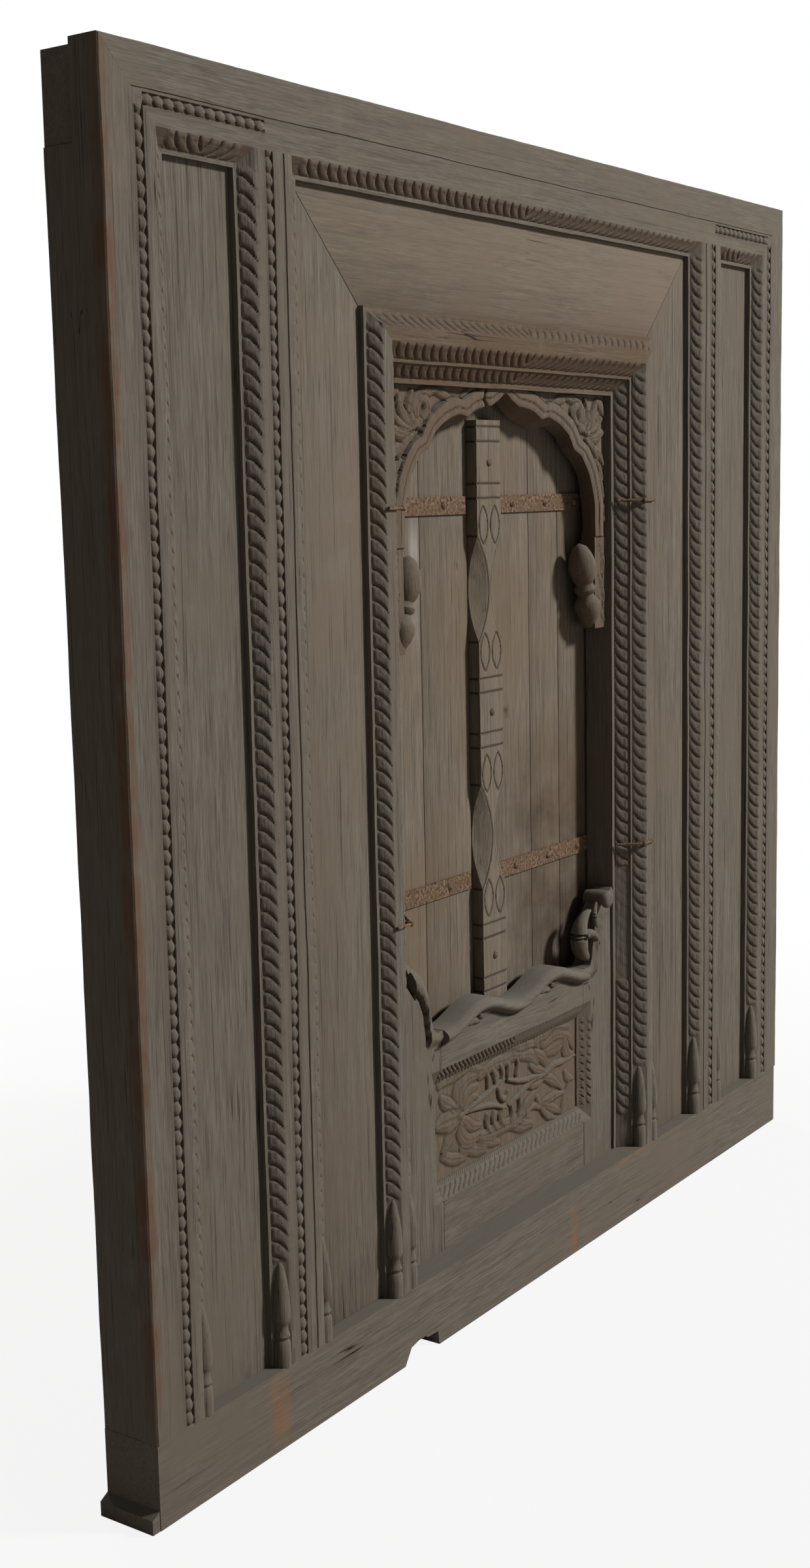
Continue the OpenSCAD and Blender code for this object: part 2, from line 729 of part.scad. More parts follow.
// Lower edge of the serpentine roll at x
function wave(x) = wave_z - wave_swing * cos(360 * x / stile_half);
wave_steps = 40;
wave_points = [for (i = [0:wave_steps]) stile_half * (2 * i / wave_steps - 1)];

module parapet_top_rail() color(wood) behind_front() {
    difference() {
        backwards(parapet_front, parapet_front + parapet_t)
            polygon(concat([[stile_half, field_high], [-stile_half, field_high]],
                [for (x = wave_points) [x, wave(x) + roll_h]]));
        field_cut();
    }
    backwards(parapet_front - roll_out, parapet_front)
        polygon(concat([for (x = wave_points) [x, wave(x) + roll_h]],
            [for (i = [wave_steps:-1:0]) [wave_points[i], wave(wave_points[i])]]));
}

module parapet_bottom_rail() color(wood) behind_front() difference() {
    box(-stile_half, stile_half, parapet_front, parapet_front + parapet_t, sill_h, field_low);
    field_cut();
}

// Stile at the right: a hollow shoulder rises from the rail to a tip beside the jamb
shoulder_z = wave(stile_half) + roll_h / 2 + shoulder_r;
module stile() {
    shoulder_x = stile_half;
    difference() {
        box(stile_half, reveal_half, parapet_front, parapet_front + parapet_t, sill_h, stile_top);
        backwards(parapet_front - past, parapet_front + parapet_t + past) {
            translate([shoulder_x, shoulder_z]) circle(shoulder_r);
            polygon([[shoulder_x - past, shoulder_z], [shoulder_x + shoulder_r, shoulder_z],
                [reveal_half - stile_w / 7, stile_top + past], [shoulder_x - past, stile_top + past]]);
        }
        field_cut();
    }
    // Roll along the shoulder
    translate([shoulder_x, parapet_front, shoulder_z]) rotate([90, 0, 0]) rotate([0, 0, -90])
        translate([0, 0, -roll_h / 4]) rotate_extrude(angle = 92)
            translate([shoulder_r + roll_h / 4 - 2, 0]) circle(roll_h / 3);
}

module parapet_left_stile() color(wood) behind_front() left_of(-1) stile();

// Stile with a curled leaf like a bird's head on its shoulder, and a roll across its tip
module parapet_right_stile() color(wood) behind_front() {
    curl_y = parapet_front + curl_t / 4;
    curl_z = shoulder_z + 0.4 * curl_t;
    knob_x = reveal_half - 1.5 * knob_r;
    stile();
    translate([stile_half + curl_r, curl_y, curl_z]) rotate([90, 0, 0]) {
        rotate([0, 0, 75]) rotate_extrude(angle = 180) translate([curl_r, 0]) circle(curl_t / 2);
        // Beak
        translate([-0.85 * curl_r, 0, 0]) rotate([0, 0, -27]) rotate([0, 90, 0])
            cylinder(r1 = curl_t / 3.5, r2 = curl_t / 8, h = 2.3 * curl_r);
        // Neck down to the roll
        rotate([0, 0, -105]) translate([0.75 * curl_r, 0, 0]) rotate([0, 0, 35]) rotate([0, 90, 0])
            cylinder(r = curl_t / 3.5, h = 1.6 * curl_r);
    }
    translate([knob_x, parapet_front + parapet_t, stile_top - knob_r]) rotate([90, 0, 0]) {
        cylinder(r = knob_r, h = parapet_t);
        translate([0, 0, parapet_t]) sphere(0.96 * knob_r);
    }
}

// Leaves spread round a point of the carved field, from one angle to another
module fan(x, z, from, to, count, length) for (i = [0:count - 1])
    leaf_on(x, z, from + (to - from) * i / (count - 1), length, 0.28 * length,
        field_groove - leaf_relief / 2);

// Carved field: two stems along the middle, with fans of leaves above and below them
module parapet_carved_panel() color(wood_brown) behind_front() {
    slack = tongue - groove_gap;
    leaf_l = 0.2 * field_h;
    knot_x = -0.63 * stile_half;
    box(-stile_half - slack, stile_half + slack, field_groove, field_groove + field_t,
        field_low - slack, field_high + slack);
    translate([0, 0, (field_low + field_high) / 2]) {
        for (x = [knot_x, 0.18 * stile_half])
            leaf_on(x, 0.03 * field_h, 2, 0.67 * stile_half, 0.06 * field_h, field_groove - leaf_relief / 2);
        fan(knot_x, 0.03 * field_h, 50, 310, 6, leaf_l);
        fan(-0.18 * stile_half, 0.22 * field_h, 30, 150, 4, leaf_l);
        fan(-0.13 * stile_half, -0.22 * field_h, 210, 330, 4, leaf_l);
        fan(0.13 * stile_half, 0.09 * field_h, 60, 120, 2, leaf_l);
        fan(0.67 * stile_half, 0.21 * field_h, 30, 150, 4, leaf_l);
        fan(0.62 * stile_half, -0.21 * field_h, 190, 350, 5, leaf_l);
    }
}

// A bar of round iron between two points in plan
module bar(a, b, r) {
    d = b - a;
    translate([a[0], a[1], 0]) rotate([0, 90, atan2(d[1], d[0])]) cylinder(r = r, h = norm(d));
}

// Split pin: an eye behind the jamb, a shank through it and two legs clinched on the carving
module hinge_pin() {
    knob_y = -leg_r - 0.4;
    inner_leg = [eye_x - 0.94 * leg_l, reveal_step - 2.7 * leg_r];
    translate([eye_x, eye_y, 0]) rotate_extrude() translate([eye_r, 0]) circle(eye_wire);
    translate([eye_x, knob_y, 0]) rotate([-90, 0, 0])
        cylinder(r = shank_r, h = eye_y - eye_r - knob_y - 1);
    translate([eye_x, knob_y, 0]) sphere(shank_r + 1);
    bar([eye_x, knob_y], [eye_x + leg_l, knob_y], leg_r);
    bar([eye_x, knob_y], inner_leg, leg_r);
}

module hinge_pins() color(iron) behind_front()
    for (side = [-1, 1], z = strap_levels) left_of(side) translate([0, 0, z]) hinge_pin();

module nail_hole(x, z) translate([x, 0, z]) rotate([-90, 0, 0])
    cylinder(r = nail_r + hole_gap, h = plank_back + past);

module strap_nail_holes(places) for (x = places, z = strap_levels) nail_hole(x, z);

// Nail with a low round head, driven from depth y to the back of the planks
module nail(x, y, z) translate([x, y, z]) rotate([-90, 0, 0]) {
    cylinder(r = nail_r, h = plank_back - y);
    cap_r = (nail_head_r * nail_head_r + nail_head_h * nail_head_h) / (2 * nail_head_h);
    intersection() {
        translate([0, 0, cap_r - nail_head_h]) sphere(cap_r);
        translate([0, 0, -nail_head_h]) cylinder(r = nail_head_r + past, h = nail_head_h);
    }
}

// Strap on a leaf at the right, with two tongues that hold the hinge rod above and below the eye
module strap(end_x, z) {
    tongue_h = strap_h / 2 - tongue_low;
    translate([0, 0, z]) {
        box(end_x, leaf_out + strap_past, strap_front, plank_front, -strap_h / 2, strap_h / 2);
        for (low = [-strap_h / 2, tongue_low]) {
            box(leaf_out + groove_gap, eye_x, strap_front, eye_y, low, low + tongue_h);
            translate([eye_x, eye_y, low]) cylinder(r = rod_r + 2, h = tongue_h);
        }
        translate([eye_x, eye_y, -strap_h / 2]) cylinder(r = rod_r, h = strap_h);
    }
}

module left_strap(z) color(iron) behind_front() difference() {
    left_of(-1) strap(-left_strap_end, z);
    strap_nail_holes(left_nails_x);
}

module right_strap(z) color(iron) behind_front() difference() {
    strap(right_strap_end, z);
    strap_nail_holes(right_nails_x);
}

module plank(x0, x1) box(x0, x1, plank_front, plank_back, leaf_low, leaf_high);

module ledge(x0, x1, z) color(wood_dark) behind_front()
    box(x0 + ledge_inset, x1 - ledge_inset, plank_back, plank_back + ledge_t,
        z - ledge_h / 2, z + ledge_h / 2);

module left_plank(x0, x1) color(wood) behind_front() difference() {
    plank(x0, x1);
    strap_nail_holes(left_nails_x);
}

module right_plank(x0, x1) color(wood) behind_front() difference() {
    plank(x0, x1);
    strap_nail_holes(right_nails_x);
    for (z = block_z) nail_hole(astragal_x, z);
}

module left_leaf_outer_plank() left_plank(left_leaf_x[0], left_leaf_x[1]);

module left_leaf_inner_plank() left_plank(left_leaf_x[2], left_leaf_x[3]);

module left_leaf_upper_ledge() ledge(left_leaf_x[0], left_leaf_x[3], ledge_high_z);

module left_leaf_lower_ledge() ledge(left_leaf_x[0], left_leaf_x[3], ledge_low_z);

module left_upper_strap() left_strap(strap_high_z);

module left_lower_strap() left_strap(strap_low_z);

module left_strap_nails() color(iron) behind_front()
    for (x = left_nails_x, z = strap_levels) nail(x, strap_front, z);

module right_leaf_inner_plank() right_plank(right_leaf_in, right_seam_a - plank_gap / 2);

module right_leaf_middle_plank() right_plank(right_seam_a + plank_gap / 2, right_seam_b - plank_gap / 2);

module right_leaf_outer_plank() right_plank(right_seam_b + plank_gap / 2, leaf_out);

module right_leaf_upper_ledge() ledge(right_leaf_in, leaf_out, ledge_high_z);

module right_leaf_lower_ledge() ledge(right_leaf_in, leaf_out, ledge_low_z);

module right_upper_strap() right_strap(strap_high_z);

module right_lower_strap() right_strap(strap_low_z);

module right_strap_nails() color(iron) behind_front()
    for (x = right_nails_x, z = strap_levels) nail(x, strap_front, z);

// Line cut round a pointed leaf that runs up from z
module leaf_line(z, length, width) translate([0, 0, z]) rotate([0, -90, 0])
    backwards(astragal_front - past, astragal_front + line_d) difference() {
        inner = 1 - 2 * line_w / width;
        leaf_shape(length, width);
        translate([(1 - inner) * length / 2, 0]) leaf_shape(inner * length, inner * width);
    }

// Scoop in one edge of the astragal, from a line on its face down to its back
module scoop(side, z, length) {
    slope = atan2(astragal_t, scoop_reach);
    sink = scoop_reach * sin(slope);
    r = (length * length / 4 + sink * sink) / (2 * sink);
    left_of(side) translate([astragal_w / 2 - scoop_reach, astragal_front, z]) rotate([0, 0, slope])
        translate([0, -r, 0]) rotate([0, 90, 0]) cylinder(r = r, h = 4 * astragal_w, center = true);
}

// A scoop in each edge between a pair of petals at each end
module astragal_unit(z0, z1) {
    petal_l = 0.23 * (z1 - z0);
    for (side = [-1, 1]) {
        scoop(side, (z0 + z1) / 2, 0.64 * (z1 - z0));
        for (up = [0, 1])
            translate([side * (petal_w / 2 + line_w), 0, 0])
                leaf_line(z0 + up * (z1 - z0 - petal_l), petal_l, petal_w);
    }
}

// Carved strip that covers the meeting of the leaves: nailed blocks with scooped waists between them
module astragal() color(wood) behind_front() difference() {
    translate([astragal_x, 0, 0]) difference() {
        box(-astragal_w / 2, astragal_w / 2, astragal_front, plank_front, astragal_low, astragal_high);
        for (z = block_z, up = [-1, 1])
            translate([0, astragal_front, z + up * block_h / 2]) rotate([45, 0, 0])
                cube([astragal_w + 2 * past, line_w, line_w], center = true);
        for (i = [0:len(block_z) - 2]) {
            low = block_z[i] + block_h / 2 + band_h;
            high = block_z[i + 1] - block_h / 2 - band_h;
            astragal_unit(low, high);
        }
    }
    for (z = block_z) nail_hole(astragal_x, z);
}

module astragal_nails() color(iron) behind_front() for (z = block_z) nail(astragal_x, astragal_front, z);

left_post();
right_post();
top_rail();
sill();
left_upright();
right_upright();
left_bay_panel();
right_bay_panel();
surround_left_board();
surround_top_board();
surround_right_board();
window_left_jamb();
window_right_jamb();
window_head();
arch_left_spandrel();
arch_right_spandrel();
parapet_left_stile();
parapet_right_stile();
parapet_top_rail();
parapet_bottom_rail();
parapet_carved_panel();
hinge_pins();
left_leaf_outer_plank();
left_leaf_inner_plank();
left_leaf_upper_ledge();
left_leaf_lower_ledge();
left_upper_strap();
left_lower_strap();
left_strap_nails();
right_leaf_inner_plank();
right_leaf_middle_plank();
right_leaf_outer_plank();
right_leaf_upper_ledge();
right_leaf_lower_ledge();
right_upper_strap();
right_lower_strap();
right_strap_nails();
astragal();
astragal_nails();
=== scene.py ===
import math

import bmesh
import bpy
import numpy as np
from mathutils import Matrix, Vector, noise


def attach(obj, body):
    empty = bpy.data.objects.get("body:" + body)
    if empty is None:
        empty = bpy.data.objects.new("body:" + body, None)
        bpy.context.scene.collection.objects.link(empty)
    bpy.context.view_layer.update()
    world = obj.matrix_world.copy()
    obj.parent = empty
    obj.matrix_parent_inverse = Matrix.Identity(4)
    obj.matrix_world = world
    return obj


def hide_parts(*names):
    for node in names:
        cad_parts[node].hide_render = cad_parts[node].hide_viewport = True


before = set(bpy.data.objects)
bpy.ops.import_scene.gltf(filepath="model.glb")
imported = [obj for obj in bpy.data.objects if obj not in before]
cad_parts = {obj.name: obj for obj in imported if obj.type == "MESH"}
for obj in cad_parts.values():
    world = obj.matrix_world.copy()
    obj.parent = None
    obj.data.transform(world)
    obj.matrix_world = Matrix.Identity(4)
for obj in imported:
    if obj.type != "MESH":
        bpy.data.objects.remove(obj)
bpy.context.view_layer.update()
noise.seed_set(7)  # the wear is the same on every run
print("stage: frame loaded")

# Sizes are in millimetres, with depth counted back from the frame's front plane
mm = 0.001
frontY = -46.0
size = dict(halfW=947.0, postIn=829.0, top=1830.0, railLow=1712.0, sill=115.0, centreHalf=570.0,
            uprightW=126.0, reveal=326.0, revealTop=1462.0, lap=46.0, back=92.0, fillet=6.0, splayW=20.0,
            splayD=15.0)
beadRow = dict(near=46.0, width=16.0, pitch=19.0, sink=3.6, proud=1.4)
ropeCut = dict(pitch=22.0, slant=20.0, curl=0.3, proud=2.2, sink=2.8, columns=12, rowStep=1.8, foot=148.0)
edgeW = size["fillet"] + size["splayW"]
uprightOut = size["centreHalf"] + size["uprightW"]
upAxis = Vector((0, 0, 1))
rightAxis = Vector((1, 0, 0))


# Materials

def linear(hexColour):
    channels = [int(hexColour[i:i + 2], 16) / 255 for i in (1, 3, 5)]
    return [c / 12.92 if c <= 0.04045 else ((c + 0.055) / 1.055) ** 2.4 for c in channels] + [1.0]


def addNode(tree, kind, inputs, out=0, **settings):
    node = tree.nodes.new(kind)
    for key, value in settings.items():
        setattr(node, key, value)
    for key, value in inputs.items():
        if isinstance(value, bpy.types.NodeSocket):
            tree.links.new(value, node.inputs[key])
        else:
            node.inputs[key].default_value = value
    return node.outputs[out]


# Grain of old teak: its size across in millimetres, its detail, and how many times longer it runs.
# The fibre is coarser than the real one, so that it shows.
woodGrain = dict(streak=(6.667, 6.0, 22.22), fibre=(1.613, 3.0, 22.22), line=(3.03, 2.0, 83.33),
                 crack=(21.74, 2.0, 50.0), crackPlace=(200.0, 2.0, 1.0), patch=(312.5, 5.0, 1.0),
                 blotch=(58.82, 4.0, 1.0))
markGrit = 16.67
bumpDeep = 1.2


def markMask(tree, coords, mark):
    # A soft patch round a place on the object, broken up by noise
    grit = addNode(tree, "ShaderNodeTexNoise", {
        "Vector": coords, "Scale": 1 / (mark.get("grit", markGrit) * mm), "Detail": 4.0, "Roughness": 0.6})
    mask = addNode(tree, "ShaderNodeMapRange", {"Value": grit, "From Min": 0.3, "From Max": 0.62})
    for axis, middle, half in (("X", mark["x"], mark["wide"]), ("Y", mark.get("y", 0), mark.get("deep", 900)),
                               ("Z", mark["z"], mark["tall"])):
        place = addNode(tree, "ShaderNodeSeparateXYZ", {"Vector": coords}, axis)
        away = addNode(tree, "ShaderNodeMath", {0: place, 1: middle * mm}, operation="SUBTRACT")
        away = addNode(tree, "ShaderNodeMath", {0: away}, operation="ABSOLUTE")
        near = addNode(tree, "ShaderNodeMapRange", {
            "Value": away, "From Min": half * mm, "From Max": 0.45 * half * mm})
        mask = addNode(tree, "ShaderNodeMath", {0: mask, 1: near}, operation="MULTIPLY")
    return mask


def woodMaterial(name, look):
    # Old teak, sawn and carved: matt and greyed, with dust on its upper faces, painted shade darkening its
    # cuts and hollows, and brown undersides
    material = bpy.data.materials.new(name)
    material.use_nodes = True
    tree = material.node_tree
    shader = tree.nodes["Principled BSDF"]
    coords = addNode(tree, "ShaderNodeTexCoord", {}, "Object")
    grain = {}
    for key, (across, detail, drawn) in woodGrain.items():
        stretch = [1.0, 1.0, 1.0]
        stretch["xyz".index(look["grain"])] = 1 / drawn
        place = addNode(tree, "ShaderNodeMapping", {"Vector": coords, "Scale": stretch})
        grain[key] = addNode(tree, "ShaderNodeTexNoise", {
            "Vector": place, "Scale": 1 / (across * mm), "Detail": detail, "Roughness": 0.6})
    part = addNode(tree, "ShaderNodeMath", {0: grain["streak"], 1: 0.45}, operation="MULTIPLY")
    blend = addNode(tree, "ShaderNodeMath", {0: grain["fibre"], 1: 0.55, 2: part}, operation="MULTIPLY_ADD")
    off = addNode(tree, "ShaderNodeMath", {0: grain["crack"], 1: 0.5}, operation="SUBTRACT")
    off = addNode(tree, "ShaderNodeMath", {0: off}, operation="ABSOLUTE")
    thin = addNode(tree, "ShaderNodeMapRange", {"Value": off, "From Min": 0.005, "From Max": 0.001})
    where = addNode(tree, "ShaderNodeMapRange",
                    {"Value": grain["crackPlace"], "From Min": 0.57, "From Max": 0.68})
    crack = addNode(tree, "ShaderNodeMath", {0: thin, 1: where}, operation="MULTIPLY")
    # This attribute holds painted shade for the hollows of the carving
    cavityShade = addNode(tree, "ShaderNodeAttribute", {}, "Fac", attribute_name="cavityShade")
    normal = addNode(tree, "ShaderNodeNewGeometry", {}, "Normal")
    upward = addNode(tree, "ShaderNodeSeparateXYZ", {"Vector": normal}, "Z")
    # Each layer: its source, the range over which it comes in, its strength and its colour
    layers = [(blend, 0.34, 0.64, 1.0, look["light"]),
              (grain["patch"], 0.42, 0.66, 1.0, look["warm"]),
              (grain["line"], 0.6, 0.7, 0.6 * look["streak"], look["deep"]),
              (grain["blotch"], 0.56, 0.8, 0.3, look["grey"]),
              (crack, 0.0, 1.0, 1.0, look["deep"])]
    for mark in look.get("marks", ()):
        layers.append((markMask(tree, coords, mark), 0.0, 1.0, mark["strength"], mark["colour"]))
    # Painted shade: the hollows, cuts and rope gaps are pulled toward the deep colour
    layers += [(cavityShade, 0.0, 1.0, 1.0, look["deep"]),
               (upward, 0.15, 0.9, 0.75, look["dust"]),
               (upward, -0.1, -0.6, 0.6, look["brown"])]
    base = linear(look["dark"])
    for source, low, high, strength, tint in layers:
        mask = addNode(tree, "ShaderNodeMapRange", {
            "Value": source, "From Min": low, "From Max": high, "To Max": strength})
        base = addNode(tree, "ShaderNodeMix", {0: mask, 6: base, 7: linear(tint)}, 2, data_type="RGBA")
    tree.links.new(base, shader.inputs["Base Color"])
    shader.inputs["Roughness"].default_value = 0.86
    shader.inputs["Specular IOR Level"].default_value = 0.08
    height = addNode(tree, "ShaderNodeMath", {0: grain["streak"], 1: grain["fibre"]}, operation="ADD")
    height = addNode(tree, "ShaderNodeMath", {0: height, 1: crack}, operation="SUBTRACT")
    bump = addNode(tree, "ShaderNodeBump", {
        "Height": height, "Strength": 0.5 * look["streak"], "Distance": bumpDeep * mm})
    tree.links.new(bump, shader.inputs["Normal"])
    return material


rustLook = dict(grit=5.263, patch=16.67, dark="#3a2c22", light="#7a6350", middle="#5a4937")


def rustMaterial(name, look):
    # Wrought iron left to rust: rough, brown and gritty, with no bare metal
    material = bpy.data.materials.new(name)
    material.use_nodes = True
    tree = material.node_tree
    shader = tree.nodes["Principled BSDF"]
    coords = addNode(tree, "ShaderNodeTexCoord", {}, "Object")
    base = linear(look["dark"])
    heights = []
    for key, detail, low, high, tint in (("grit", 6.0, 0.4, 0.6, "light"),
                                         ("patch", 4.0, 0.45, 0.65, "middle")):
        heights.append(addNode(tree, "ShaderNodeTexNoise", {
            "Vector": coords, "Scale": 1 / (look[key] * mm), "Detail": detail, "Roughness": 0.6}))
        mask = addNode(tree, "ShaderNodeMapRange", {"Value": heights[-1], "From Min": low, "From Max": high})
        base = addNode(tree, "ShaderNodeMix", {0: mask, 6: base, 7: linear(look[tint])}, 2, data_type="RGBA")
    tree.links.new(base, shader.inputs["Base Color"])
    shader.inputs["Roughness"].default_value = 0.9
    shader.inputs["Specular IOR Level"].default_value = 0.12
    bump = addNode(tree, "ShaderNodeBump", {"Height": heights[0], "Strength": 0.7, "Distance": bumpDeep * mm})
    tree.links.new(bump, shader.inputs["Normal"])
    return material


# Looks: the grain's direction, the colours of the layers and how strong the grain is
frameLook = dict(grain="z", dark="#4a443c", light="#6c655b", warm="#60574c", grey="#706a61", deep="#1f1a15",
                 dust="#625e56", brown="#4f3d2f", streak=0.9)
levelLook = dict(frameLook, grain="x", streak=0.5)

# Stains, and a painted shadow on the leaves: place, half sizes and grit in millimetres
arrisMark = dict(x=-947, y=-42, z=1000, wide=18, deep=20, tall=1400, colour="#5c3d28", strength=0.65,
                 grit=55.56)
sillMarks = (dict(x=-700, z=60, wide=26, tall=60, colour="#7d5433", strength=0.55),
             dict(x=330, z=118, wide=90, tall=16, colour="#80603f", strength=0.5),
             dict(x=110, z=40, wide=14, tall=50, colour="#80552f", strength=0.6))
leafStainsAndShadow = (dict(x=-196, z=1170, wide=15, tall=120, colour="#8d8580", strength=0.75, grit=166.7),
             dict(x=60, z=940, wide=16, tall=14, colour="#3a2d22", strength=0.7),
             # Painted shadow of the right jamb and the hook over the lower right of the leaves
             dict(x=200, z=650, wide=190, tall=270, colour="#3f332a", strength=0.75, grit=111.1))

upMaterial = woodMaterial("weathered_teak_upright", dict(frameLook, marks=(arrisMark,)))
acrossMaterial = woodMaterial("weathered_teak_level", levelLook)
sillMaterial = woodMaterial("worn_teak_sill", dict(levelLook, marks=sillMarks))
headMaterial = woodMaterial("brown_teak_head", dict(
    levelLook, dark="#43382d", light="#65594b", warm="#574737", dust="#584f45"))
boardMaterial = woodMaterial("teak_board_upright", dict(
    frameLook, dark="#4d463d", light="#6e665b", warm="#655a4e"))
boardAcross = woodMaterial("teak_board_level", dict(
    levelLook, dark="#5a5147", light="#726859", warm="#6b5f53", streak=0.25))
leafMaterial = woodMaterial("teak_leaf_planks", dict(
    frameLook, dark="#51483e", light="#71675a", warm="#655849", marks=leafStainsAndShadow))
astragalMaterial = woodMaterial("teak_astragal", dict(
    frameLook, dark="#554c42", light="#766c5f", warm="#6a5e50"))
carvedMaterial = woodMaterial("carved_teak", dict(
    frameLook, dark="#4b4136", light="#6b6053", warm="#5c4d3e", streak=0.4))
rust = rustMaterial("rusted_wrought_iron", rustLook)
print("stage: materials made")


# Building blocks

class Run:
    # A straight run of moulding: across is the section's first axis, along the length
    def __init__(self, origin, across, along):
        self.origin = Vector(origin)
        self.across = Vector(across)
        self.along = Vector(along)

    def point(self, a, d, s):
        p = self.origin + self.across * a + self.along * s
        return Vector((p.x, p.y + d + frontY, p.z)) * mm

    def coords(self, co):
        p = co / mm - self.origin
        return p.dot(self.across), p.y - frontY, p.dot(self.along)


def newMesh():
    bm = bmesh.new()
    # A layer of painted shade for the hollows that carving makes
    bm.verts.layers.float.new("cavityShade")
    return bm


def between(p, q, count):
    return [(p[0] + (q[0] - p[0]) * i / count, p[1] + (q[1] - p[1]) * i / count) for i in range(1, count)]


def prism(bm, run, ring, low, high, step):
    # Extrudes a section along its run, with ends cut as low and high say, and splits it for carving
    first = len(bm.verts)
    start = [bm.verts.new(run.point(a, d, low(a, d))) for a, d in ring]
    cap = bm.faces.new(start)
    bmesh.ops.extrude_face_region(bm, geom=[cap])
    if not any(set(f.verts) == set(start) for f in start[0].link_faces):
        bm.faces.new(start)
    lengths = []
    longest = 0.0
    for vert, (a, d) in zip(start, ring):
        edge = next(e for e in vert.link_edges if e.other_vert(vert) not in start)
        edge.other_vert(vert).co = run.point(a, d, high(a, d))
        lengths.append(edge)
        longest = max(longest, high(a, d) - low(a, d))
    cuts = max(0, int(longest / step) - 1)
    if cuts:
        bmesh.ops.subdivide_edges(bm, edges=lengths, cuts=cuts, use_grid_fill=True)
    bm.verts.ensure_lookup_table()
    return bm.verts[first:]


def carve(bm, verts, run, zones):
    # Moves the points that lie on a flat of the section in or out, by the pattern cut into that flat, and
    # gives them the painted shade of its hollows
    layer = bm.verts.layers.float["cavityShade"]
    for vert in verts:
        a, d, s = run.coords(vert.co)
        for (a0, d0), (a1, d1), heightAt in zones:
            wide, deep = a1 - a0, d1 - d0
            length = math.hypot(wide, deep)
            t = ((a - a0) * wide + (d - d0) * deep) / length ** 2
            if t < -0.001 or t > 1.001:
                continue
            if abs((a - a0) * deep - (d - d0) * wide) / length > 0.05:
                continue
            height, cavityShade = heightAt(s, t)
            normal = (deep / length, -wide / length)
            if normal[1] > 0:
                normal = (-normal[0], -normal[1])
            vert.co += (run.across * normal[0] + Vector((0, 1, 0)) * normal[1]) * height * mm
            vert[layer] = cavityShade
            break


# Wear of each part: how far its surface wanders, broadly and finely
worn = dict(frame=(0.9, 0.25), lintel=(1.2, 0.4), window=(0.8, 0.25), arch=(0.9, 0.3), rail=(1.2, 0.3),
            parapet=(1.0, 0.3), field=(0.8, 0.4), astragal=(0.6, 0.3), plank=(0.5, 0.1))


def wear(verts, part):
    broad, fine = worn[part]
    for vert in verts:
        p = vert.co
        shift = noise.noise_vector(p * 9.0) * broad + noise.noise_vector(p * 60.0) * fine
        vert.co = p + shift * mm


def ropeHeight(turn, low, high, flipAt=None, faded=None):
    pitch = ropeCut["pitch"]

    def heightAt(s, t):
        if s < low or s > high:
            return 0.0, 0.0
        side = 2 * t - 1
        way = turn if flipAt is None or s < flipAt else -turn
        skew = way * ropeCut["slant"] * (0.5 * side + ropeCut["curl"] * (1 - side * side))
        phase = (s + skew) / pitch
        u = 2 * (phase - math.floor(phase)) - 1
        lobe = math.sqrt(max(0.0, 1 - abs(u) ** 3.4))
        brim = max(0.0, 1 - abs(side) ** 5)
        ends = min(1.0, (s - low) / 8.0, (high - s) / 8.0)
        strength = brim * max(0.0, ends)
        if faded and faded[0] < s < faded[1]:
            strength *= 0.15
        height = (lobe * (ropeCut["proud"] + ropeCut["sink"]) - ropeCut["sink"]) * strength
        ring = math.hypot((u - 0.1) / 0.55, (side + 0.2) / 0.62)
        eye = math.exp(-((ring - 1) / 0.2) ** 2) if u > -0.1 else 0.0
        height -= 0.9 * eye * strength
        # The second value is painted shade in the gaps between the lobes and round the eyes
        return height, min(0.8, max(0.0, (1 - lobe) * 1.1 - 0.2) + 0.3 * eye) * strength

    return heightAt


def beadHeight(spans):
    pitch = beadRow["pitch"]

    def heightAt(s, t):
        for low, high in spans:
            if low <= s <= high:
                side = 2 * t - 1
                # The second value is painted shade along the edges of the row and round each bead
                if abs(side) > 0.96:
                    return 0.0, 0.2
                phase = (s - low) / pitch
                u = 2 * (phase - math.floor(phase)) - 1
                dome = math.sqrt(max(0.0, 1 - (u / 0.95) ** 2 - (side / 0.88) ** 2))
                height = dome * (beadRow["sink"] + beadRow["proud"]) - beadRow["sink"]
                return height, max(0.0, 0.55 - 1.3 * dome)
        return 0.0, 0.0

    return heightAt


# Bud at the foot of a rope
finialShape = dict(height=157.0, radius=13.0, steps=18, inset=16.0, depth=10.0)


def finial(bm, x, d):
    r, h = finialShape["radius"], finialShape["height"]
    outline = [(0.0, 0.0), (0.95 * r, 0.0), (0.98 * r, 0.1 * h), (0.95 * r, 0.22 * h), (0.72 * r, 0.245 * h),
               (0.92 * r, 0.28 * h), (0.74 * r, 0.32 * h), (0.68 * r, 0.37 * h), (0.9 * r, 0.4 * h),
               (1.02 * r, 0.44 * h), (1.02 * r, 0.53 * h), (0.93 * r, 0.66 * h), (0.72 * r, 0.8 * h),
               (0.4 * r, 0.92 * h), (0.0, h)]
    centre = Vector((x, d + frontY, size["sill"])) * mm
    verts = [bm.verts.new(centre + Vector((px, 0, pz)) * mm) for px, pz in outline]
    edges = [bm.edges.new(pair) for pair in zip(verts, verts[1:])]
    bmesh.ops.spin(bm, geom=verts + edges, cent=centre, axis=(0, 0, 1), angle=2 * math.pi,
                   steps=finialShape["steps"], use_merge=True)
    poles = [v for v in bm.verts if v.is_valid and (v.co.xy - centre.xy).length < 1e-5]
    bmesh.ops.remove_doubles(bm, verts=poles, dist=1e-6)


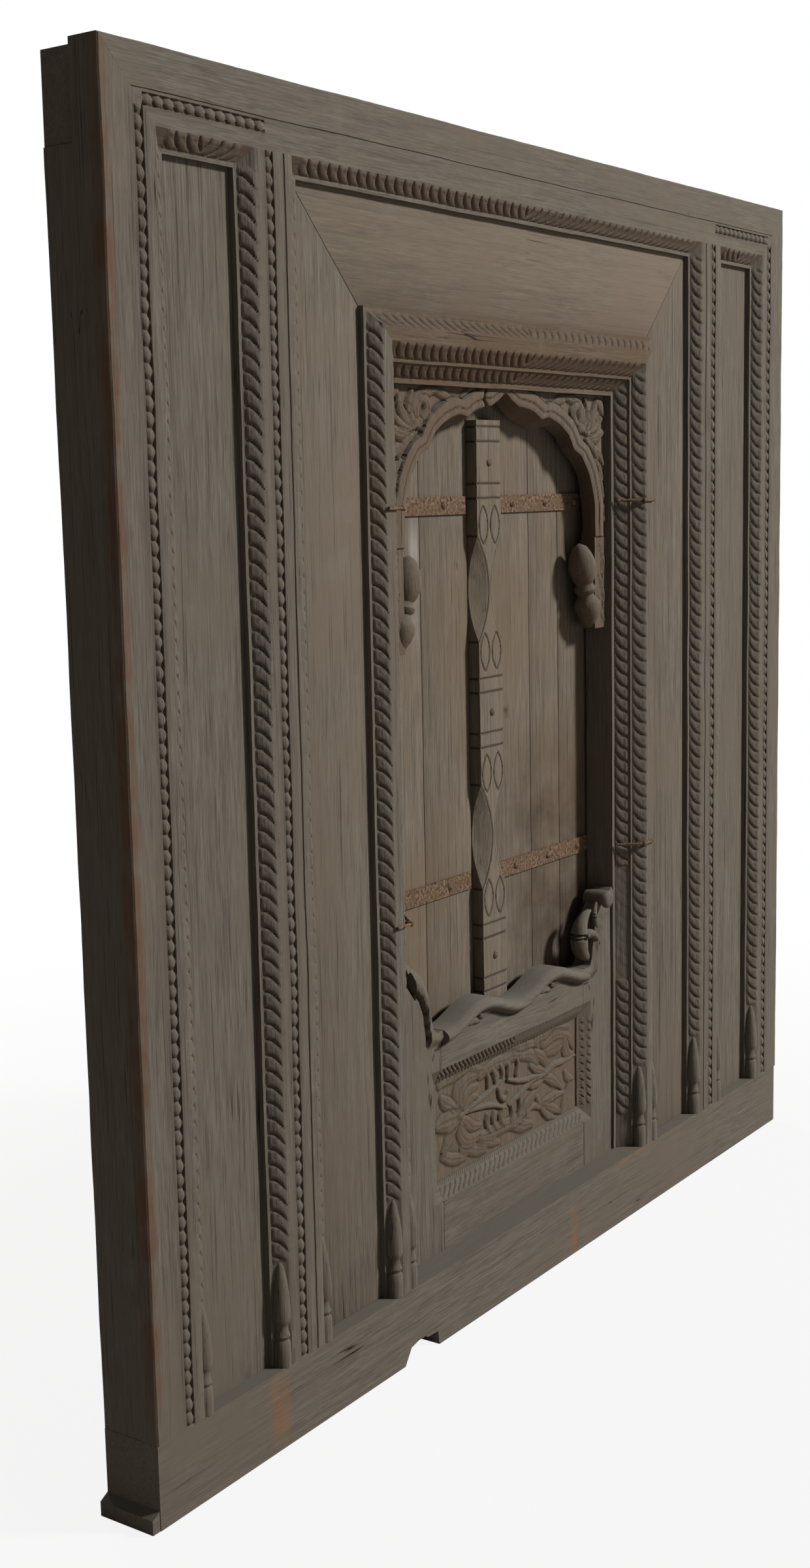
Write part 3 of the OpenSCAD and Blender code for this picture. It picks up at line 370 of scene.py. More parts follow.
def addPiece(name, bm, material, body, nodes=()):
    bmesh.ops.recalc_face_normals(bm, faces=bm.faces)
    mesh = bpy.data.meshes.new(name + "_finished")
    bm.to_mesh(mesh)
    bm.free()
    for polygon in mesh.polygons:
        polygon.use_smooth = True
    mesh.set_sharp_from_angle(angle=math.radians(38))
    piece = bpy.data.objects.new(name + "_finished", mesh)
    bpy.context.scene.collection.objects.link(piece)
    mesh.materials.append(material)
    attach(piece, body)
    if nodes:
        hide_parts(*nodes)


# Frame members

ropeFoot = size["sill"] + ropeCut["foot"]
columns = ropeCut["columns"]
splayIn = (size["fillet"], size["splayD"])
splayOut = (edgeW, 0.0)
beadNear = beadRow["near"]
beadFar = beadNear + beadRow["width"]


def beadPoints(first, last):
    return [(first, 0.0)] + between((first, 0.0), (last, 0.0), 10) + [(last, 0.0)]


def post(side, name):
    bm = newMesh()
    run = Run((side * size["postIn"], 0, 0), (side, 0, 0), upAxis)
    wide = size["halfW"] - size["postIn"]
    ring = [(0, size["lap"]), (0, size["splayD"]), splayIn] + between(splayIn, splayOut, columns)
    ring += [splayOut, (36, 0)] + beadPoints(beadNear, beadFar)
    ring += [(80, 0), (100, 0), (wide - 2, 0), (wide, 2), (wide, 22), (wide, size["lap"])]
    verts = prism(bm, run, ring, lambda a, d: size["sill"], lambda a, d: size["railLow"] + a,
                  ropeCut["rowStep"])
    carve(bm, verts, run, [
        (splayIn, splayOut, ropeHeight(side, ropeFoot, size["railLow"] + 4)),
        ((beadNear, 0), (beadFar, 0), beadHeight([(size["sill"], size["railLow"] + beadNear)]))])
    wear(verts, "frame")
    back = [(0, size["lap"]), (wide, size["lap"]), (wide, size["back"]), (0, size["back"])]
    wear(prism(bm, run, back, lambda a, d: size["sill"], lambda a, d: size["railLow"], 20), "frame")
    finial(bm, side * (size["postIn"] + finialShape["inset"]), finialShape["depth"])
    addPiece(name, bm, upMaterial, "frame", [name])


def upright(side, name):
    bm = newMesh()
    run = Run((side * size["centreHalf"], 0, 0), (side, 0, 0), upAxis)
    wide = size["uprightW"]
    outIn, outOut = (wide - edgeW, 0.0), (wide - size["fillet"], size["splayD"])
    ring = [(0, size["back"]), (0, size["splayD"]), splayIn] + between(splayIn, splayOut, columns)
    ring += [splayOut, (40.5, 0), (41.2, 1.6), (43.2, 1.6), (44, 0), (54, 0)]
    ring += beadPoints(wide - beadFar, wide - beadNear) + [(90, 0), outIn]
    ring += between(outIn, outOut, columns) + [outOut, (wide, size["splayD"]), (wide, size["back"])]
    verts = prism(bm, run, ring, lambda a, d: size["sill"],
                  lambda a, d: size["railLow"] + min(a, wide - a, edgeW), ropeCut["rowStep"])
    carve(bm, verts, run, [
        (splayIn, splayOut, ropeHeight(side, ropeFoot, size["railLow"] + 4)),
        (outIn, outOut, ropeHeight(side, ropeFoot, size["railLow"] + 4)),
        ((wide - beadFar, 0), (wide - beadNear, 0), beadHeight([(size["sill"], size["railLow"] + edgeW)]))])
    wear(verts, "frame")
    finial(bm, side * (size["centreHalf"] + finialShape["inset"]), finialShape["depth"])
    finial(bm, side * (uprightOut - finialShape["inset"]), finialShape["depth"])
    addPiece(name, bm, upMaterial, "frame", [name])


def topRail():
    bm = newMesh()
    wide = size["top"] - size["railLow"]
    run = Run((0, 0, size["railLow"]), upAxis, rightAxis)
    reach = size["postIn"]
    ring = [(edgeW, size["lap"]), (edgeW, 0), (36, 0)] + beadPoints(beadNear, beadFar)
    ring += [(64, 0), (64.6, 1.4), (66, 1.4), (66.6, 0), (90, 0), (wide - 2, 0), (wide, 2),
             (wide, size["lap"])]
    verts = prism(bm, run, ring, lambda a, d: -reach - a, lambda a, d: reach + a, 2.0)
    near, far = uprightOut - beadNear, size["postIn"] + beadNear
    carve(bm, verts, run, [((beadNear, 0), (beadFar, 0), beadHeight([(-far, -near), (near, far)]))])
    wear(verts, "frame")
    for x0, x1 in ((-size["postIn"], -uprightOut), (-size["centreHalf"], size["centreHalf"]),
                   (uprightOut, size["postIn"])):
        bay = Run((x0, 0, size["railLow"]), upAxis, rightAxis)
        length = x1 - x0
        ring = [(0, size["lap"]), (0, size["splayD"]), splayIn] + between(splayIn, splayOut, columns)
        ring += [splayOut, (edgeW, size["lap"])]
        verts = prism(bm, bay, ring, lambda a, d: -a, lambda a, d: length + a, ropeCut["rowStep"])
        carve(bm, verts, bay, [(splayIn, splayOut, ropeHeight(1, -4, length + 4, length / 2))])
        wear(verts, "frame")
    back = [(0, size["lap"]), (wide - 8, size["lap"]), (wide - 8, size["back"]), (0, size["back"])]
    wear(prism(bm, run, back, lambda a, d: 2 - size["halfW"], lambda a, d: size["halfW"] - 2, 20), "lintel")
    addPiece("top_rail", bm, acrossMaterial, "frame", ["top_rail"])


# Section of the window frame: three roped splays
window = dict(ropeIn=(8.0, 40.0), ropeInEnd=(27.0, 22.0), step=(27.0, 18.0), ropeOut=(32.0, 18.0),
              ropeOutEnd=(54.0, 0.0), edgeIn=(74.0, 0.0), edgeOut=(94.0, 15.0), wide=100.0,
              buds=((43.0, 12.0), (84.0, 10.0)))


def windowRing():
    w = window
    ring = [(0, size["back"]), (0, 40), w["ropeIn"]] + between(w["ropeIn"], w["ropeInEnd"], columns)
    ring += [w["ropeInEnd"], w["step"], w["ropeOut"]] + between(w["ropeOut"], w["ropeOutEnd"], columns)
    ring += [w["ropeOutEnd"], (56, 0), (64, 0), (72, 0), w["edgeIn"]]
    ring += between(w["edgeIn"], w["edgeOut"], columns)
    return ring + [w["edgeOut"], (w["wide"], 15), (w["wide"], size["back"])]


def jamb(side, name, faded=None):
    bm = newMesh()
    run = Run((side * size["reveal"], 0, 0), (side, 0, 0), upAxis)
    verts = prism(bm, run, windowRing(), lambda a, d: size["sill"], lambda a, d: size["revealTop"] + a,
                  ropeCut["rowStep"])
    top = size["revealTop"]
    carve(bm, verts, run, [
        (window["ropeIn"], window["ropeInEnd"], ropeHeight(side, ropeFoot - 90, top + 16, None, faded)),
        (window["ropeOut"], window["ropeOutEnd"], ropeHeight(side, ropeFoot, top + 40)),
        (window["edgeIn"], window["edgeOut"], ropeHeight(side, ropeFoot, top + 80))])
    wear(verts, "window")
    for across, depth in window["buds"]:
        finial(bm, side * (size["reveal"] + across), depth)
    addPiece(name, bm, upMaterial, "frame", [name])


def head():
    bm = newMesh()
    run = Run((0, 0, size["revealTop"]), upAxis, rightAxis)
    reach = size["reveal"]
    verts = prism(bm, run, windowRing(), lambda a, d: -reach - a, lambda a, d: reach + a, ropeCut["rowStep"])
    carve(bm, verts, run, [
        (window["ropeIn"], window["ropeInEnd"], ropeHeight(1, -reach - 12, reach + 12, 0.0)),
        (window["ropeOut"], window["ropeOutEnd"], ropeHeight(1, -reach - 40, reach + 40, 0.0)),
        (window["edgeIn"], window["edgeOut"], ropeHeight(1, -reach - 80, reach + 80, 0.0))])
    wear(verts, "window")
    addPiece("window_head", bm, headMaterial, "frame", ["window_head"])


for side, word in ((-1, "left"), (1, "right")):
    post(side, word + "_post")
    upright(side, word + "_upright")
jamb(-1, "window_left_jamb")
jamb(1, "window_right_jamb", (430.0, 640.0))
topRail()
head()
print("stage: frame members carved")


# Relief carving: a grid cut to an outline, pushed to its heights and taken back to its rear face

def stroke(x, z, points, radii):
    # How far points lie from a tapered line, where 1 is its edge
    nearest = np.full(x.shape, 9.0)
    for (ax, az), (bx, bz), ra, rb in zip(points, points[1:], radii, radii[1:]):
        ux, uz = bx - ax, bz - az
        t = np.clip(((x - ax) * ux + (z - az) * uz) / (ux * ux + uz * uz), 0, 1)
        nearest = np.minimum(nearest, np.hypot(x - ax - t * ux, z - az - t * uz) / (ra + (rb - ra) * t))
    return nearest


def leafStroke(x, z, px, pz, angle, length, bend, width):
    points, radii = [], []
    steps = 6
    heading = math.radians(angle)
    for i in range(steps + 1):
        t = i / steps
        points.append((px, pz))
        radii.append(width * (0.12 + 0.88 * math.sin(math.pi * (0.14 + 0.8 * t))))
        px += length / steps * math.cos(heading)
        pz += length / steps * math.sin(heading)
        heading += math.radians(bend) / steps
    return stroke(x, z, points, radii)


def pathReach(x, z, path, wide):
    # The same for a leaf along a path, with its corners rounded off
    count = len(path)
    points = list(path)
    sizes = [wide * (0.3 + 0.7 * math.sin(math.pi * (0.16 + 0.76 * i / (count - 1)))) for i in range(count)]
    for turn in range(2):
        cut, cutSizes = [points[0]], [sizes[0]]
        for (ax, az), (bx, bz), ra, rb in zip(points, points[1:], sizes, sizes[1:]):
            cut += [(0.75 * ax + 0.25 * bx, 0.75 * az + 0.25 * bz),
                    (0.25 * ax + 0.75 * bx, 0.25 * az + 0.75 * bz)]
            cutSizes += [0.75 * ra + 0.25 * rb, 0.25 * ra + 0.75 * rb]
        points, sizes = cut + [points[-1]], cutSizes + [sizes[-1]]
    return stroke(x, z, points, sizes)


class Carving:
    # Heights over a field of points, and painted shade at each of them where it lies deep in the carving
    def __init__(self, x, z, ground):
        self.x, self.z = x, z
        self.height = np.full(x.shape, float(ground))
        self.cavityShade = np.zeros(x.shape)

    def raiseTo(self, reach, tall, rib=0.0):
        veins = np.exp(-(reach / 0.2) ** 2) + 0.6 * np.exp(-((reach - 0.58) / 0.13) ** 2)
        dome = np.sqrt(np.clip(1 - reach ** 2, 0, 1)) * (1 - rib * veins)
        top = np.where(reach < 1, self.height.min() + tall * dome, self.height)
        # Painted shade along the veins and in a ring round the edge of each raised shape
        self.cavityShade = np.where(top > self.height, 0.8 * rib * veins, self.cavityShade)
        self.cavityShade = np.maximum(self.cavityShade, 0.8 * np.exp(-((reach - 1.08) / 0.16) ** 2) * (reach > 0.96))
        self.height = np.maximum(self.height, top)

    def leaf(self, px, pz, angle, length, bend, width, tall):
        self.raiseTo(leafStroke(self.x, self.z, px, pz, angle, length, bend, width), tall, 0.45)

    def cut(self, distance, width, deep):
        line = np.exp(-(distance / width) ** 2)
        self.height -= deep * line
        # Painted shade along the cut
        self.cavityShade = np.maximum(self.cavityShade, line)


def relief(bm, spans, step, outside, heights, front, back, side=1, walls=None):
    x0, x1, z0, z1 = spans
    made = bmesh.ops.create_grid(bm, x_segments=int((x1 - x0) / step), y_segments=int((z1 - z0) / step),
                                 size=0.5)
    flat = np.array([v.co[:2] for v in made["verts"]]) + 0.5
    x, z = x0 + flat[:, 0] * (x1 - x0), z0 + flat[:, 1] * (z1 - z0)
    order = {v: i for i, v in enumerate(made["verts"])}
    away = outside(x, z)
    faces = {f for v in made["verts"] for f in v.link_faces}
    bmesh.ops.delete(bm, geom=[f for f in faces if sum(away[order[v]] for v in f.verts) > 0], context="FACES")
    kept = [v for v in made["verts"] if v.is_valid]
    edge = np.array([order[v] for v in kept if v.is_boundary])
    for turn in range(3):
        gap = outside(x[edge], z[edge])
        slopeX = outside(x[edge] + 0.4, z[edge]) - outside(x[edge] - 0.4, z[edge])
        slopeZ = outside(x[edge], z[edge] + 0.4) - outside(x[edge], z[edge] - 0.4)
        steep = (slopeX ** 2 + slopeZ ** 2) / 0.8 + 1e-6
        x[edge] -= np.clip(gap * slopeX / steep, -step, step)
        z[edge] -= np.clip(gap * slopeZ / steep, -step, step)
    carving = heights(x, z)
    layer = bm.verts.layers.float["cavityShade"]
    for v in kept:
        i = order[v]
        v.co = Vector((side * x[i], front - carving.height[i] + frontY, z[i])) * mm
        v[layer] = carving.cavityShade[i]
    rim = list(dict.fromkeys(e for v in kept for e in v.link_edges if e.is_boundary))
    for at in (walls or [None]):
        made = bmesh.ops.extrude_edge_only(bm, edges=rim)["geom"]
        rim = [e for e in made if isinstance(e, bmesh.types.BMEdge) and e.is_boundary]
        for v in made:
            if isinstance(v, bmesh.types.BMVert):
                px, depth, pz = side * v.co.x / mm, v.co.y / mm - frontY, v.co.z / mm
                px, depth, pz = at(px, depth, pz) if at else (px, back, pz)
                v.co = Vector((side * px, depth + frontY, pz)) * mm
    bmesh.ops.triangle_fill(bm, edges=rim, use_beauty=False)


def turned(bm, outline, radius, place, lean):
    # A turned shape whose outline is in radii
    verts = [bm.verts.new(Vector((px, 0, pz)) * radius * mm) for px, pz in outline]
    edges = [bm.edges.new(pair) for pair in zip(verts, verts[1:])]
    first = set(bm.verts) - set(verts)
    bmesh.ops.spin(bm, geom=verts + edges, cent=(0, 0, 0), axis=(0, 0, 1), angle=2 * math.pi, steps=28,
                   use_merge=True)
    whole = [v for v in bm.verts if v not in first]
    bmesh.ops.remove_doubles(bm, verts=[v for v in whole if v.co.xy.length < 1e-6], dist=1e-6)
    whole = [v for v in bm.verts if v not in first]
    bmesh.ops.rotate(bm, verts=whole, cent=(0, 0, 0), matrix=Matrix.Rotation(math.radians(lean), 3, "Y"))
    bmesh.ops.translate(bm, verts=whole, vec=Vector((place[0], place[1] + frontY, place[2])) * mm)


def tube(bm, path, rounds=2):
    # A round bar along a smoothed path of x, depth, z and radius
    points = [Vector(p) for p in path]
    for turn in range(rounds):
        cut = [points[0]]
        for a, b in zip(points, points[1:]):
            cut += [a.lerp(b, 0.25), a.lerp(b, 0.75)]
        points = cut + [points[-1]]
    places = []
    for i, p in enumerate(points):
        way = (points[min(i + 1, len(points) - 1)] - points[max(i - 1, 0)]).to_3d().normalized()
        facing = way.to_track_quat("Z", "X" if abs(way.y) > 0.7 else "Y").to_matrix().to_4x4()
        at = Vector((p[0], p[1] + frontY, p[2])) * mm
        places.append(Matrix.Translation(at) @ facing @ Matrix.Scale(p[3] * mm, 4))
    start = bmesh.ops.create_circle(bm, cap_ends=True, segments=20, radius=1.0, matrix=places[0])["verts"]
    rim = [e for e in bm.edges if e.verts[0] in start and e.verts[1] in start and e.is_boundary]
    for before, after in zip(places, places[1:]):
        made = bmesh.ops.extrude_edge_only(bm, edges=rim)["geom"]
        ring = [v for v in made if isinstance(v, bmesh.types.BMVert)]
        rim = [e for e in made if isinstance(e, bmesh.types.BMEdge) and e.is_boundary]
        bmesh.ops.transform(bm, matrix=after @ before.inverted(), verts=ring)
    bmesh.ops.holes_fill(bm, edges=rim)


# Arch boards: the edge is given by its distance from a middle point at each angle from upright
arch = dict(front=52.0, back=83.0, foot=1066.0, middle=1180.0, strip=288.0, step=2.4, band=28.0, soft=0.6,
            edgeFront=((0, 276), (1, 275), (4, 267), (9, 260), (19, 265), (25, 263), (29, 277), (36, 287),
                       (43, 293), (49, 289), (53, 301), (60, 306), (65, 305), (71, 302), (76, 294), (81, 290),
                       (86, 289)),
            edgeBack=((0, 275), (7, 258), (13, 248), (20, 247), (31, 258), (36, 283), (44, 297), (51, 300),
                      (58, 313), (63, 319), (70, 315), (79, 306), (86, 289)))
pendantShape = dict(radius=24.0, lean=-14.0, inset=34.0, outline=(
    (0, 0), (0.28, 0.1), (0.5, 0.42), (0.78, 0.9), (0.94, 1.4), (0.97, 1.75), (0.86, 2.05), (0.64, 2.3),
    (0.56, 2.55), (0.74, 2.72), (0.8, 2.95), (0.66, 3.15), (0.62, 3.35), (0.82, 3.65), (0.97, 4.1),
    (1.0, 4.5), (0.95, 5.0), (0.78, 5.5), (0.5, 6.0), (0, 6.3)))

# Leaves of a spandrel: half width, height and path
spandrelLeaves = (
    (9, 4.0, ((120, 1446), (100, 1456), (70, 1458))), (8, 4.0, ((150, 1440), (176, 1452), (206, 1456))),
    (11, 5.0, ((238, 1404), (252, 1418), (246, 1438), (222, 1452), (196, 1456))),
    (9, 5.5, ((230, 1414), (216, 1424), (220, 1440), (238, 1444))),
    (8, 6.0, ((244, 1402), (264, 1412), (268, 1432), (258, 1452))),
    (9, 5.0, ((262, 1400), (284, 1420), (296, 1452))), (8, 5.5, ((264, 1396), (286, 1400), (312, 1424))),
    (10, 5.0, ((270, 1388), (294, 1390), (316, 1400))), (8, 5.5, ((262, 1386), (284, 1374), (298, 1354))),
    (8, 4.5, ((288, 1372), (306, 1366), (318, 1346))), (8, 5.0, ((290, 1350), (304, 1342), (314, 1322))),
    (7, 4.5, ((300, 1330), (312, 1312), (318, 1290))), (7, 4.5, ((308, 1300), (316, 1276), (320, 1250))),
    (9, 4.0, ((300, 1452), (314, 1446), (322, 1430))), (7, 6.0, ((256, 1400), (246, 1408), (236, 1410))))
stripLeaves = ((8, 8.0, ((306, 1212), (318, 1184), (312, 1150))),
               (7, 8.0, ((304, 1156), (318, 1126), (314, 1094))),
               (6, 8.0, ((300, 1118), (308, 1096), (320, 1078))))


def archEdge(x, z, key):
    angle = np.degrees(np.arctan2(np.abs(x) + 1e-6, z - arch["middle"]))
    table = np.array(arch[key], dtype=float)
    last = table[-1, 0]
    near = [np.clip(angle + k * arch["soft"], 0, last) for k in (-1, 0, 0, 1)]
    curve = sum(np.interp(turn, table[:, 0], table[:, 1]) for turn in near) / 4
    return np.where(angle > last, arch["strip"] / np.maximum(np.sin(np.radians(angle)), 0.05), curve)


def archBoard(side, name):
    reveal, top = size["reveal"], size["revealTop"]

    def away(x, z):
        return archEdge(x, z, "edgeFront") - np.hypot(x, z - arch["middle"])

    def outside(x, z):
        return np.maximum.reduce([away(x, z), 0.2 - x, x - reveal + 0.2, z - top + 0.2, arch["foot"] - z])

    def heights(x, z):
        carving = Carving(x, z, -3.0)
        reach = -away(x, z)
        for wide, tall, path in spandrelLeaves:
            carving.raiseTo(pathReach(x, z, path, 1.15 * wide), tall + 1, 0.3)
        wide = arch["band"]
        band = reach < wide
        carving.height = np.where(band,
                                  np.interp(reach / wide, (0, 0.1, 0.4, 0.5, 1), (2.2, 3.4, 3.8, 5.0, 3.6)),
                                  carving.height)
        carving.cavityShade = np.where(band, 0.0, carving.cavityShade)
        carving.cut(reach - wide - 1, 1.6, 2.0)
        carving.cut(reach - 0.42 * wide, 1.1, 1.0)
        # The plain foot is flat, with a faint even painted shade
        plain = z < 1222
        carving.height = np.where(plain, 0.0, carving.height)
        carving.cavityShade = np.where(plain, 0.1, carving.cavityShade)
        for wide, tall, path in stripLeaves:
            carving.raiseTo(pathReach(x, z, path, wide), tall, 0.3)
        if side < 0:
            broken = stroke(x, z, [(58, 1463), (67, 1446), (54, 1432), (72, 1422), (84, 1408)], [1.0] * 5)
            carving.cut(broken, 2.2, 9.0)
        return carving

    def wall(t):
        def at(px, depth, pz):
            spot = np.array([px]), np.array([pz])
            start, end = (archEdge(*spot, key)[0] for key in ("edgeFront", "edgeBack"))
            now = math.hypot(px, pz - arch["middle"])
            full = arch["front"] + t * (arch["back"] - arch["front"])
            if now - max(start, end) > 1.5 or pz < arch["foot"] + 1:
                return px, max(depth, full), pz
            out = start + (end - start) * t
            return px * out / now, full, arch["middle"] + (pz - arch["middle"]) * out / now
        return at

    bm = newMesh()
    relief(bm, (0, reveal, arch["foot"], top), arch["step"], outside, heights, arch["front"], arch["back"],
           side, [wall(t) for t in (0.25, 0.5, 0.75, 1.0)])
    p = pendantShape
    turned(bm, p["outline"], p["radius"], (side * (reveal - p["inset"]), arch["front"] + 12.4, arch["foot"]),
           p["lean"] * side)
    wear(bm.verts, "arch")
    addPiece(name, bm, carvedMaterial, "frame", [name])


archBoard(-1, "arch_left_spandrel")
archBoard(1, "arch_right_spandrel")
print("stage: arch carved")

# Parapet: rails, stiles with their horns, and the carved field in its roped border
parapet = dict(front=44.0, back=74.0, half=224.0, low=222.0, high=384.0, border=27.0, field=58.0,
               waveMean=464.0, swing=13.0, rollTall=24.0, rollOut=16.0, jambGap=3.5, railStep=2.6,
               plainStep=5.0, stileStep=2.8, fieldStep=1.7)
shoulder = dict(across=(224, 238, 248, 254, 258, 264, 276, 291, 312, 326),
                up=(476, 473, 479, 496, 532, 553, 570, 583, 598, 606), band=27.0, ridge=9.0,
                gap=((315, 580), (304, 562), (291, 538)), gapWide=(8.5, 6.5, 1.5))
curl = dict(head=((262, 54, 476, 6), (246, 53, 492, 9), (228, 51, 504, 14), (221, 50, 524, 16),
                  (222, 50, 546, 14), (232, 49, 562, 10), (246, 48, 571, 6), (258, 47, 572, 1.5)),
            beak=((224, 42, 536, 7), (238, 38, 537, 8), (254, 38, 530, 6.5), (268, 40, 519, 5),
                  (281, 42, 508, 2)),
            eye=((224, 37, 533, 2), (226, 33.5, 533, 5), (228, 31, 533, 3)),
            inner=((270, 48, 505, 5), (277, 45, 528, 8), (268, 44, 548, 8), (262, 44, 566, 6),
                   (272, 45, 584, 3)),
            knob=((302, 80, 584, 14), (302, 66, 584, 16.5), (302, 44, 584, 16.5), (302, 36, 584, 15.5),
                  (302, 31.5, 584, 10), (302, 31, 584, 2)))


def waveAt(x):
    return parapet["waveMean"] - parapet["swing"] * np.cos(2 * math.pi * x / parapet["half"])


def borderHeight(length, wide, short=False):
    def heightAt(s, t):
        if s < 0.5 or s > length - 0.5:
            return 0.0, 0.1
        # The second value of each return is painted shade in the grooves
        if t < 0.24:
            u = ((s + 9 * t) / (9.0 if short else 6.0)) % 1
            groove = math.exp(-((u - 0.5) / 0.16) ** 2)
            return -1.4 * groove, 0.75 * groove
        side = (t - 0.62) / 0.38
        flip = 1 if s < length / 2 or wide else -1
        u = ((s + flip * (8 * side + 3 * math.sin(2.6 * side))) / (11.0 if short else 15.0)) % 1
        groove = math.exp(-((u - 0.5) / (0.12 if wide else 0.15)) ** 2) * max(0.0, 1 - abs(side) ** 6)
        return -2.6 * groove + 1.2 * max(0.0, 1 - side * side), 0.85 * groove
    return heightAt


def borderStrip(bm, origin, across, along, length, short=False):
    p = parapet
    run = Run(origin, across, along)
    inner, outer = (0.0, p["field"]), (p["border"], p["front"])
    ring = [(0, p["back"]), inner] + between(inner, outer, 14) + [outer, (p["border"], p["back"])]
    verts = prism(bm, run, ring, lambda a, d: -a, lambda a, d: length + a, 1.7)
    carve(bm, verts, run, [(inner, outer, borderHeight(length, not short, short))])


def plainHeights(x, z):
    return Carving(x, z, 0.0)


def topParapetRail():
    p = parapet
    bm = newMesh()

    def outside(x, z):
        return np.maximum.reduce([np.abs(x) - p["half"] + 0.6, p["high"] + p["border"] - z,
                                  z - waveAt(x) - p["rollTall"]])

    def heights(x, z):
        carving = Carving(x, z, 0.0)
        for at in (-112.0, 112.0):
            level = waveAt(np.array([at]))[0]
            carving.leaf(at - 30, level - 12, 12, 30, -50, 4.5, 5.0)
            carving.leaf(at - 6, level - 3, -28, 24, 40, 5.0, 6.0)
            carving.leaf(at + 10, level - 4, 8, 28, -30, 4.5, 5.0)
        u = (z - waveAt(x)) / p["rollTall"]
        low = 2 + (p["rollOut"] - 2) * np.sin(math.pi / 2 * np.clip(u / 0.5, 0, 1)) ** 0.7
        high = 5 + (p["rollOut"] - 5) * np.cos(math.pi / 2 * np.clip((u - 0.5) / 0.5, 0, 1)) ** 0.8
        carving.height = np.where(u > 0, np.where(u < 0.5, low, high), carving.height)
        # Painted shadow in a band under the roll
        carving.cavityShade = np.where(u > 0, 0.0, np.maximum(carving.cavityShade, np.exp(-(u / 0.16) ** 2)))
        return carving

    relief(bm, (-p["half"], p["half"], p["high"] + p["border"], p["waveMean"] + 40), p["railStep"], outside,
           heights, p["front"], p["back"])
    borderStrip(bm, (-p["half"], 0, p["high"]), upAxis, rightAxis, 2 * p["half"], True)
    wear(bm.verts, "rail")
    addPiece("parapet_top_rail", bm, acrossMaterial, "frame", ["parapet_top_rail"])


def bottomParapetRail():
    p = parapet
    bm = newMesh()

    def outside(x, z):
        return np.maximum.reduce([np.abs(x) - p["half"] + 0.6, size["sill"] - z, z - p["low"] + p["border"]])

    relief(bm, (-p["half"], p["half"], size["sill"], p["low"] - p["border"]), p["plainStep"], outside,
           plainHeights, p["front"], p["back"])
    borderStrip(bm, (-p["half"], 0, p["low"]), -upAxis, rightAxis, 2 * p["half"])
    wear(bm.verts, "parapet")
    addPiece("parapet_bottom_rail", bm, acrossMaterial, "frame", ["parapet_bottom_rail"])


def parapetStile(side, name):
    p = parapet
    bm = newMesh()

    def topAt(x):
        return sum(np.interp(x + k, shoulder["across"], shoulder["up"]) for k in (-4, 0, 4)) / 3

    def outside(x, z):
        slope = (topAt(x + 1) - topAt(x - 1)) / 2
        over = (z - topAt(x)) / np.sqrt(1 + slope ** 2)
        field = np.minimum.reduce([p["half"] + p["border"] - x, z - p["low"] + p["border"],
                                   p["high"] + p["border"] - z])
        away = np.maximum.reduce([p["half"] + 0.6 - x, x - size["reveal"] + p["jambGap"], size["sill"] - z,
                                  over, field])
        if side < 0:
            away = np.maximum(away, 5 * (1 - stroke(x, z, shoulder["gap"], shoulder["gapWide"])))
        return away

    def heights(x, z):
        carving = Carving(x, z, 0.0)
        slope = (topAt(x + 1) - topAt(x - 1)) / 2
        under = (topAt(x) - z) / np.sqrt(1 + slope ** 2)
        rise = np.interp(under, (0, 0.55 * shoulder["band"], 0.9 * shoulder["band"], shoulder["band"]),
                         (0.35, 1, 0.75, 0))
        fade = np.clip((z - 452) / 14, 0, 1)
        carving.height = np.maximum(carving.height, shoulder["ridge"] * rise * fade)
        carving.cut(under - shoulder["band"] - 1, 1.8, 1.6 * fade)
        return carving

    relief(bm, (p["half"], size["reveal"], size["sill"], 614), p["stileStep"], outside, heights, p["front"],
           p["back"], side)
    borderStrip(bm, (side * p["half"], 0, p["low"]), (side, 0, 0), upAxis, p["high"] - p["low"])
    if side > 0:
        for part in ("head", "beak", "eye", "inner", "knob"):
            tube(bm, curl[part])
    wear(bm.verts, "parapet")
    addPiece(name, bm, upMaterial, "frame", [name])


